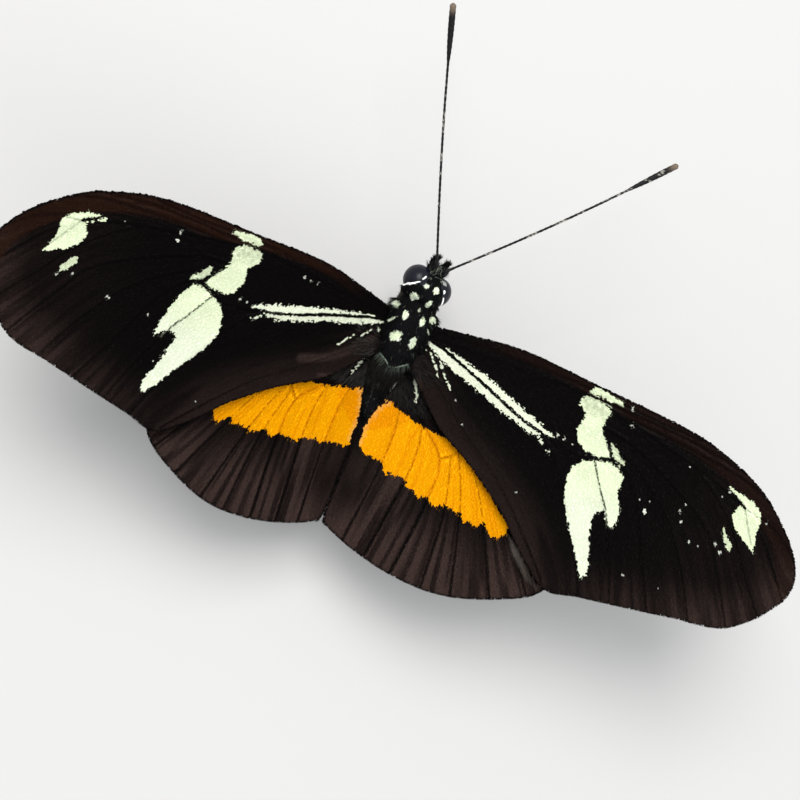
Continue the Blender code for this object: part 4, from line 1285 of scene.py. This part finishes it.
def triangle_points(mesh, count, random):
    """Random places on a mesh, spread evenly over its area, with the surface's normals."""
    mesh.calc_loop_triangles()
    corners = np.zeros(len(mesh.loop_triangles) * 3, int)
    mesh.loop_triangles.foreach_get("vertices", corners)
    points = read_points(mesh)[corners.reshape(-1, 3)]
    normal = np.cross(points[:, 1] - points[:, 0], points[:, 2] - points[:, 0])
    area = np.linalg.norm(normal, axis=1)
    chosen = random.choice(len(points), count, p=area / area.sum())
    u, v = random.random((2, count))
    flip = u + v > 1
    u[flip], v[flip] = 1 - u[flip], 1 - v[flip]
    a, b, c = points[chosen].transpose(1, 0, 2)
    return a + (b - a) * u[:, None] + (c - a) * v[:, None], normal[chosen] / area[chosen][:, None]


def in_eye(points, grow):
    """Which points lie inside either eye, swollen by grow."""
    local = np.array([(HEAD_TURN.inverted() @ Vector(p))[:] for p in points])
    local[:, 0] = np.abs(local[:, 0])
    gap = (local - np.array(EYE_CENTRE)) / (np.array(EYE_HALF) + grow)
    return (np.linalg.norm(gap, axis=1) < 1.0) & (local[:, 0] > 0.75)


def hair_axes(lie, normals, lift):
    """For each hair the direction it runs in, the one across it and the one out of it."""
    along = unit_rows(lie + normals * np.reshape(lift, (-1, 1)))
    across = unit_rows(np.cross(normals, along))
    return along, across, np.cross(along, across)


def body_unwrap(points):
    """The body's length runs along the map, and the way round its axis runs across it."""
    angle = np.arctan2(points[:, 0], points[:, 2] + 1.2)
    return np.column_stack([(points[:, 1] + 18.0) / 26.0, 0.5 + angle / (2 * pi) * 0.98])


def coat_lie(points, normals, random):
    """The direction of the hair, its length and its lift off the skin, for each root."""
    x, y, z = points.T
    lie = np.tile((0.0, -1.0, 0.0), (len(points), 1))
    shoulder = ramp(np.abs(x), 0.9, 1.7) * (y < 3) * (y > -3.4)
    lie[:, 0] += np.sign(x) * 0.6 * shoulder
    lie[:, 2] -= 0.5 * shoulder
    fan = ramp(-y, 2.6, 3.4) * (1 - ramp(-y, 4.6, 6.2)) * (z > -2.6)
    lie[:, 0] += x * 0.7 * fan
    lie[:, 2] += 0.15 * fan
    face = ramp(y, 5.0, 5.8)
    lie += face[:, None] * np.column_stack([0.3 * x, np.full(len(x), 2.0), 0.35 * z])
    length = np.full(len(points), 0.42)
    length += 0.3 * shoulder + 0.75 * fan + 0.3 * face
    length = np.where(y > 3.6, length * 0.85, length)
    belly = ramp(-z, 2.2, 3.4) * (y > -4)
    length += 0.35 * belly
    length = np.where(y < -5.5, 0.34, length)
    lift = 0.2 + 0.15 * shoulder + 0.22 * fan + 0.3 * face + 0.15 * belly
    lie += random.normal(0, 0.2, lie.shape)
    lie = unit_rows(lie - normals * np.sum(lie * normals, axis=1)[:, None])
    return lie, length, lift


def lay_coat(name, points, normals, random, pieces):
    """A coat of hair over the skin."""
    lie, length, lift = coat_lie(points, normals, random)
    colours, pale = paint_body(points + lie * (0.5 * length)[:, None])
    spot = pale > 0.4
    colours = colours * random.normal(1.0, np.where(spot, 0.07, 0.22)[:, None], (len(points), 1))
    face = (points[:, 1] > 5.25) & (points[:, 1] < 6.9) & (points[:, 2] > 0.2)
    silver = (random.random(len(points)) < np.where(face, 0.26, 0.025)) & ~spot
    colours = mix(colours, linear(142, 152, 136), silver * np.where(face, 0.7, 0.3))
    length = np.where(spot, 0.3, length) * random.uniform(0.7, 1.25, len(points))
    width = np.where(spot, 0.12, 0.055) * random.uniform(0.8, 1.2, len(points))
    axes = hair_axes(lie, normals, np.where(spot, 0.28, lift))
    roots = points - normals * 0.03
    unwrap = body_unwrap(points)
    for number, part in enumerate(np.array_split(np.argsort(points[:, 1], kind="stable"), pieces)):
        mesh = lay(name, HAIR, roots[part], [axis[part] for axis in axes],
                   (length[part], width[part], HAIR_THICKNESS), -0.12, colours[part], unwrap[part])
        new_object(f"{name}_{number + 1}", mesh, FINISH["hair"], "body_hair", "thorax", "head", "abdomen")
    print(name, len(points), "hairs")


random = np.random.default_rng(7)
hair_roots, hair_normals = triangle_points(skin, HAIR_COUNT, random)
outside = ~in_eye(hair_roots, 0.02)
lay_coat("body_hair", hair_roots[outside], hair_normals[outside], random, 2)

# %% [markdown]
# Some marks are too crisp for the coat alone: the white lines behind the eyes, the tuft at each
# feeler's foot and the arc of fine grey hair round the shield. Their hairs are set one by one along a
# route. Each root is dropped from above onto the skin or the eye, whichever it meets first.

# %% Rows of hair
WHITE, ARC_GREY = linear(252, 252, 248), linear(112, 124, 112)
ROWS = [
    ([(-2.08, 3.52), (-1.5, 4.0), (-1.04, 4.36)], 175, 0.05, (0.8, 0.6), 0.22, 0.1, 0.06, WHITE),
    ([(-0.76, 4.76), (-0.58, 5.0)], 60, 0.06, (0.55, 0.8), 0.18, 0.1, 0.06, WHITE),
    ([(1.45, 4.62), (1.48, 4.46)], 45, 0.06, (0.1, -1.0), 0.16, 0.1, 0.06, WHITE),
    ([(1.64, 4.0), (1.8, 3.7), (1.95, 3.34)], 110, 0.05, (0.35, -1.0), 0.2, 0.09, 0.06, WHITE),
    ([(1.05, 5.2), (1.4, 5.05)], 40, 0.12, (0.3, 0.9), 0.25, 0.08, 0.3, WHITE * 0.4),
    (SHIELD_ARC, 360, 0.02, None, 0.12, 0.045, 0.3, ARC_GREY * 1.25),
    (SHIELD_ARC, 55, 0.1, None, 0.85, 0.03, 0.45, ARC_GREY * 0.45),
    ([(-0.35, 6.0), (0.1, 6.15)], 160, 0.3, (-0.1, 1.0), 0.8, 0.055, 0.7, HAIR_BLACK * 2),
    ([(0.75, 5.9), (1.15, 5.8)], 160, 0.3, (0.35, 1.0), 0.8, 0.055, 0.7, HAIR_BLACK * 2),
]


def eye_vertices():
    """An eye's dome in the head's frame, as a bmesh, for the right side."""
    bm = bmesh.new()
    bmesh.ops.create_icosphere(bm, subdivisions=5, radius=1.0)
    for vert in bm.verts:
        vert.co = EYE_CENTRE + Vector([u * (h - 0.02) for u, h in zip(vert.co, EYE_HALF)])
    return bm


def drop_surfaces():
    """The skin and both eyes as trees that a ray can be dropped on."""
    bm = bmesh.new()
    bm.from_mesh(skin)
    trees = [BVHTree.FromBMesh(bm)]
    bm.free()
    for side in (LEFT, RIGHT):
        eye = eye_vertices()
        bmesh.ops.transform(eye, matrix=HEAD_TURN @ Matrix.Diagonal((side, 1, 1, 1)), verts=eye.verts)
        trees.append(BVHTree.FromBMesh(eye))
        eye.free()
    return trees


def lay_rows():
    """The crisp marks, hair by hair."""
    random = np.random.default_rng(17)
    trees = drop_surfaces()
    rows = []
    for route, count, spread, lie, length, width, lift, tint in ROWS:
        line = smooth_line(route, 0.1)
        for share in random.random(count):
            x, y = edge_spots(line, np.array([share]))[0] + random.normal(0, spread * 0.45, 2)
            hits = [tree.ray_cast(Vector((x, y, 4.0)), Vector((0, 0, -1))) for tree in trees]
            hits = [hit for hit in hits if hit[0]]
            if not hits:
                continue
            root, normal = max(hits, key=lambda hit: hit[0].z)[:2]
            if normal.z < 0:
                normal = -normal
            flat = Vector(lie) if lie else Vector((x * 0.8, y + 1.4))
            flat = Vector((*flat.normalized(), 0.0)) + Vector(random.normal(0, 0.12, 3))
            size = length * random.uniform(0.75, 1.2)
            outward = normal if normal.z > 0 else -normal
            rows.append((root[:], outward[:], flat[:], size, width, lift, tint * random.uniform(0.85, 1.1)))
    roots, normals, flat, length, width, lift, tints = (np.array(column) for column in zip(*rows))
    lie = unit_rows(flat - normals * np.sum(flat * normals, axis=1)[:, None])
    mesh = lay("rows", HAIR, roots, hair_axes(lie, normals, lift), (length, width, HAIR_THICKNESS), -0.1,
               tints, body_unwrap(roots))
    new_object("body_hair_marks", mesh, FINISH["hair"], "body_hair", "thorax", "head", "abdomen")
    print(len(rows), "hairs in crisp rows")


lay_rows()
skin.transform(TO_WORLD)
skin.shade_smooth()
new_object("body_skin", skin, FINISH["skin"], "body_hair", "head", "thorax", "abdomen")

# %% [markdown]
# A compound eye is a dome of tiny lenses. From a step away they merge into a dark, glossy navy
# surface with a soft reflection. The dome is a ball stretched to the eye's half sizes, and the
# lenses are a fine cell pattern in the bump of its material.

# %% Eyes
def eye_finish():
    """Glossy navy black with a fine pattern of lenses."""
    made = bpy.data.materials.new("compound_eye")
    made.use_nodes = True
    nodes = made.node_tree.nodes
    links = made.node_tree.links
    shader = nodes["Principled BSDF"]
    shader.inputs["Roughness"].default_value = 0.36
    shader.inputs["Specular IOR Level"].default_value = 0.16
    shader.inputs["Coat Weight"].default_value = 0.09
    shader.inputs["Coat Roughness"].default_value = 0.22
    spot = nodes.new("ShaderNodeTexCoord")
    cells = nodes.new("ShaderNodeTexVoronoi")
    cells.inputs["Scale"].default_value = 1.0 / (0.06 * MM)
    shade = nodes.new("ShaderNodeValToRGB")
    shade.color_ramp.elements[0].color = (*linear(14, 15, 29), 1.0)
    shade.color_ramp.elements[1].color = (*linear(5, 5, 12), 1.0)
    press = nodes.new("ShaderNodeBump")
    press.inputs["Strength"].default_value = 0.25
    press.inputs["Distance"].default_value = 0.02 * MM
    press.invert = True
    links.new(spot.outputs["Object"], cells.inputs["Vector"])
    links.new(cells.outputs["Distance"], shade.inputs["Fac"])
    links.new(shade.outputs["Color"], shader.inputs["Base Color"])
    links.new(cells.outputs["Distance"], press.inputs["Height"])
    links.new(press.outputs["Normal"], shader.inputs["Normal"])
    return made


FINISH["eye"] = eye_finish()


def build_eye(hand, side):
    """One compound eye, a full dome whose inner side is buried in the head."""
    bm = eye_vertices()
    bmesh.ops.transform(bm, matrix=HEAD_TURN @ Matrix.Diagonal((side, 1, 1, 1)), verts=bm.verts)
    face_out(bm)
    mesh = bpy.data.meshes.new("eye")
    bm.to_mesh(mesh)
    bm.free()
    mesh.transform(TO_WORLD)
    mesh.shade_smooth()
    new_object("eye_dome_" + hand, mesh, FINISH["eye"], "eye", "eye_" + hand)
    print("eye", hand, len(mesh.polygons), "faces")


for side, hand in SIDES:
    build_eye(hand, side)

# %% [markdown]
# Feelers, legs, palps and the coiled tongue are all tubes with their own swellings. One helper
# grows them: it starts with a disc, and pushes its face out ring by ring, each time moved, turned
# and resized to the next station along the route.

# %% Tubes
def grow_tube(bm, stations, radii, sides):
    """A closed tube through the stations."""
    stations = [Vector(p) for p in stations]
    made = bmesh.ops.create_circle(bm, cap_ends=True, segments=sides, radius=1.0)
    ring = made["verts"]
    cap = ring[0].link_faces[0]
    heading = (stations[1] - stations[0]).normalized()
    turn = Vector((0, 0, 1)).rotation_difference(heading).to_matrix()
    frames = [(stations[0], turn, radii[0])]
    for i in range(1, len(stations)):
        ahead = stations[min(i + 1, len(stations) - 1)] - stations[i - 1]
        turn = heading.rotation_difference(ahead.normalized()).to_matrix() @ turn
        heading = ahead.normalized()
        frames.append((stations[i], turn, radii[i]))
    placed = [Matrix.Translation(p) @ t.to_4x4() @ Matrix.Diagonal((r, r, 1, 1)) for p, t, r in frames]
    bmesh.ops.transform(bm, matrix=placed[0], verts=ring)
    for i in range(1, len(placed)):
        out = bmesh.ops.extrude_face_region(bm, geom=[cap])["geom"]
        ring = [g for g in out if isinstance(g, bmesh.types.BMVert)]
        cap = next(g for g in out if isinstance(g, bmesh.types.BMFace))
        bmesh.ops.transform(bm, matrix=placed[i] @ placed[i - 1].inverted(), verts=ring)


def finish_tube(name, bm, finish, slot, colour_of, *nodes):
    """Close off a tube piece: its colours come from a function of its vertices' places."""
    face_out(bm)
    mesh = bpy.data.meshes.new(name)
    bm.to_mesh(mesh)
    bm.free()
    store_tint(mesh, colour_of(read_points(mesh)))
    mesh.transform(TO_WORLD)
    mesh.shade_smooth()
    mesh.set_sharp_from_angle(angle=radians(50))
    return new_object(name, mesh, finish, slot, *nodes)


def mirrored(points, side):
    """A route for one side of the body."""
    return [Vector((side * p[0], p[1], p[2])) for p in points]


def along_path(points, step):
    """A smooth route through points in space, about every step, and its length so far."""
    line = smooth_line([tuple(p) for p in points], step)
    run = np.concatenate([[0.0], np.cumsum(np.linalg.norm(np.diff(line, axis=0), axis=1))])
    return line, run


print("tubes are grown ring by ring")

# %% [markdown]
# A feeler is a bead chain of about forty joints. The shaft is hair thin and black, with a fleck
# of pale scales on each joint, and it swells into a slender club whose tip is paler.

# %% Feelers
FEELER_ROOT = (0.4, 1.0, 0.3)
FEELER_NECK = (0.5, 1.9, 0.95)
FEELER_TIP = (12.2, 20.3, 4.9)
FEELER_JOINTS = 46
SHAFT_RADIUS = 0.095
CLUB_LENGTH = 5.0
CLUB_SWELL = 0.17


def build_feeler(hand, side):
    """One antenna: joints that bead the shaft, and a club."""
    neck, tip = Vector(FEELER_NECK), Vector(FEELER_TIP)
    shaft = (tip - neck).length
    stations = [Vector(FEELER_ROOT)]
    radii = [0.2]
    steps = FEELER_JOINTS * 3
    for i in range(steps + 1):
        share = i / steps
        left = shaft * (1 - share)
        swell = CLUB_SWELL * sin(min(1.0, max(0.0, (CLUB_LENGTH - left) / CLUB_LENGTH)) ** 0.8 * pi * 0.62)
        bead = (0.0, 0.022, 0.008)[i % 3]
        bow = 0.22 * sin(share * pi)
        stations.append(neck.lerp(tip, share) + Vector((bow, -0.4 * bow, 0.5 * bow)))
        base = 0.07 * max(0.0, 1 - share * 26)
        radii.append((SHAFT_RADIUS + swell + bead + base) * min(1.0, 0.35 + left / 0.25))
    bm = bmesh.new()
    grow_tube(bm, [HEAD_TURN @ Vector((side * p.x, p.y, p.z)) for p in stations], radii, 10)

    def colour_of(points):
        x, y, z = points.T
        fleck = noise(y, x + z, 0.11, 30 + side) * noise(y, z, 0.4, 31)
        colour = mix(HAIR_BLACK * 0.9, linear(150, 148, 138), (fleck > 0.5) * (y < 21.5) * 0.8)
        end = np.linalg.norm(points - np.array(HEAD_TURN @ Vector((side * tip.x, tip.y, tip.z))), axis=1)
        return mix(colour, linear(128, 112, 96), (1 - ramp(end, 0.3, 1.2)) * 0.6)

    finish_tube("feeler_" + hand, bm, FINISH["feeler"], "feeler", colour_of, "antenna_" + hand)
    print("feeler", hand, len(stations), "rings")


for side, hand in SIDES:
    build_feeler(hand, side)

# %% [markdown]
# Under the face the tongue lies coiled like a watch spring between two furry palps. The tongue has
# fine rings. Each palp is a bent, three-jointed finger, and its bristles are laid like the body's.

# %% Tongue and palps
TONGUE_CENTRE = (0.5, -2.9)
TONGUE_RADII = (1.5, 0.35)
TONGUE_TURNS = 1.4
PALP_PATH = [(0.4, 1.1, -0.9), (0.5, 2.2, -0.75), (0.52, 2.55, 0.1), (0.48, 2.6, 0.8)]
TONGUE_RINGS = 150


def build_tongue():
    """The coiled proboscis."""
    stations, radii = [], []
    for i in range(TONGUE_RINGS + 1):
        share = i / TONGUE_RINGS
        angle = pi / 2 - share * TONGUE_TURNS * 2 * pi
        radius = TONGUE_RADII[0] + (TONGUE_RADII[1] - TONGUE_RADII[0]) * share
        place = (0.0, TONGUE_CENTRE[0] + radius * cos(angle), TONGUE_CENTRE[1] + radius * sin(angle))
        stations.append(HEAD_TURN @ Vector(place))
        taper = (0.2 - 0.08 * share) * min(1.0, 0.4 + (TONGUE_RINGS - i) / 6)
        radii.append(taper * (1.0 if i % 2 else 0.93))
    bm = bmesh.new()
    grow_tube(bm, stations, radii, 10)
    finish_tube("tongue", bm, FINISH["leg"], "feeler",
                lambda p: np.tile(linear(34, 24, 20), (len(p), 1)), "proboscis")


def hairs_on(name, bare, count, lie, length, width, colour, seed, slot, node):
    """Hair over a small bare piece that is in the butterfly's frame."""
    random = np.random.default_rng(seed)
    roots, normals = triangle_points(bare, count, random)
    direction = np.tile(lie, (count, 1)) + random.normal(0, 0.25, (count, 3))
    direction = unit_rows(direction - normals * np.sum(direction * normals, axis=1)[:, None] * 0.8)
    axes = hair_axes(direction, normals, 0.35)
    size = length * random.uniform(0.6, 1.2, count)
    clear = (roots + axes[0] * size[:, None])[:, 2] > 0.05 - HINGE_HEIGHT
    roots, normals, size = roots[clear], normals[clear], size[clear]
    tints = colour * random.uniform(0.6, 1.6, (len(roots), 1))
    local = (roots - roots.min(0))[:, 1:3]
    unwrap = 0.05 + 0.9 * local / (np.ptp(local, axis=0) + 1e-6)
    mesh = lay(name, HAIR, roots - normals * 0.02, [axis[clear] for axis in axes], (size, width, width), -0.1,
               tints, unwrap)
    new_object(name, mesh, FINISH["hair"], slot, node)


def build_palp(hand, side):
    """One palp and its bristles."""
    line, run = along_path(mirrored(PALP_PATH, side), 0.12)
    share = run / run[-1]
    radii = 0.24 * (1 - 0.25 * np.cos(share * 6 * pi) ** 8) * (1 - 0.65 * ramp(share, 0.7, 1.0))
    bm = bmesh.new()
    grow_tube(bm, [HEAD_TURN @ Vector(p) for p in line], list(radii), 12)
    bare = bpy.data.meshes.new("palp_bare")
    bm.to_mesh(bare)
    finish_tube("palp_skin_" + hand, bm, FINISH["skin"], "body_hair",
                lambda p: np.tile(HAIR_BLACK, (len(p), 1)), "palp_" + hand)
    hairs_on("palp_hair_" + hand, bare, 420, (0.1 * side, 0.75, 0.75), 0.42, 0.045, HAIR_BLACK * 2.0,
             50 + side, "body_hair", "palp_" + hand)


build_tongue()
for side, hand in SIDES:
    build_palp(hand, side)
print("tongue and palps are in place")

# %% [markdown]
# A walking leg has a thick thigh, a straight shin with spines, and a foot of five small joints
# that ends in claws. The front legs are tiny furry stumps held against the chest. Each bend keeps
# a knob, where one joint slides into the next.

# %% Legs
FOOT_Z = 0.14 - HINGE_HEIGHT
LEG_PATHS = {
    "foreleg": [(0.7, 1.9, -2.2), (0.62, 2.9, -3.3), (0.6, 3.9, -3.15), (0.6, 4.4, -2.85)],
    "midleg": [(0.9, 0.2, -2.4), (1.6, 0.4, -3.9), (4.9, 1.2, -2.7), (6.3, 0.6, -6.9), (6.9, 0.4, FOOT_Z),
               (8.3, 0.2, FOOT_Z), (9.1, 0.1, FOOT_Z)],
    "hindleg": [(0.8, -1.8, -2.2), (1.5, -2.3, -3.9), (4.5, -5.2, -3.1), (5.6, -9.0, -7.4),
                (6.0, -10.2, FOOT_Z), (6.6, -12.6, FOOT_Z), (6.9, -13.6, FOOT_Z)],
}
LEG_RADII = {
    "foreleg": [0.24, 0.24, 0.19, 0.09],
    "midleg": [0.34, 0.33, 0.25, 0.2, 0.14, 0.135, 0.1],
    "hindleg": [0.34, 0.33, 0.25, 0.2, 0.14, 0.135, 0.1],
}
LEG_STEP = 0.16


def leg_stations(kind, side):
    """Points and radii down a leg, with knobs at its bends and beads along its foot."""
    points, radii = [], []
    knots = mirrored(LEG_PATHS[kind], side)
    sizes = LEG_RADII[kind]
    for i in range(len(knots) - 1):
        length = (knots[i + 1] - knots[i]).length
        pieces = max(3, int(length / LEG_STEP))
        for j in range(pieces):
            share = j / pieces
            radius = sizes[i] + (sizes[i + 1] - sizes[i]) * share
            belly = 0.16 * sin(share * pi) if i == 1 else 0.0
            knob = 0.12 * (cos(share * 2 * pi) > 0.85)
            foot = 0.1 * (1 if (j % 3 == 2) else 0) if i >= 4 else 0.0
            points.append(knots[i].lerp(knots[i + 1], share))
            radii.append(radius * (1 + belly + knob + foot))
    points.append(knots[-1])
    radii.append(sizes[-1] * 0.6)
    return points, radii


def rounded(points, radii):
    """The same route with its corners eased."""
    line = np.array([p[:] for p in points])
    for _ in range(2):
        line[1:-1] = 0.25 * line[:-2] + 0.5 * line[1:-1] + 0.25 * line[2:]
    return [Vector(p) for p in line], radii


def build_leg(kind, hand, side):
    """One leg with its spines, hair and claws."""
    stations, radii = rounded(*leg_stations(kind, side))
    bm = bmesh.new()
    grow_tube(bm, stations, radii, 12)
    bare = bpy.data.meshes.new("leg_bare")
    bm.to_mesh(bare)
    if kind != "foreleg":
        tip = stations[-1]
        ahead = (stations[-1] - stations[-4]).normalized()
        outward = ahead.cross(Vector((0, 0, 1)))
        for splay in (-1, 1):
            claw = [tip - ahead * 0.1, tip + ahead * 0.12 + outward * 0.07 * splay,
                    tip + ahead * 0.24 + outward * 0.1 * splay - Vector((0, 0, 0.06))]
            grow_tube(bm, claw, [0.05, 0.035, 0.012], 6)
    ground = -HINGE_HEIGHT
    for vert in bm.verts:
        vert.co.z = max(vert.co.z, ground)

    def colour_of(points):
        return mix(linear(26, 21, 19), linear(62, 48, 40), noise(points[:, 1], points[:, 2], 0.4, 44))

    name = kind + "_" + hand
    finish_tube(name + "_skin", bm, FINISH["leg"], "leg", colour_of, name)
    furry = kind == "foreleg"
    down = unit_rows(np.array([(knee - hip)[:] for hip, knee in zip(stations, stations[1:])])).mean(axis=0)
    hairs_on(name + "_hair", bare, 500 if furry else 620, tuple(down), 0.32 if furry else 0.2,
             0.035, HAIR_BLACK * 2.4, 60 + side, "leg", name)


for side, hand in SIDES:
    for kind in LEG_PATHS:
        build_leg(kind, hand, side)
print("six legs are in place")
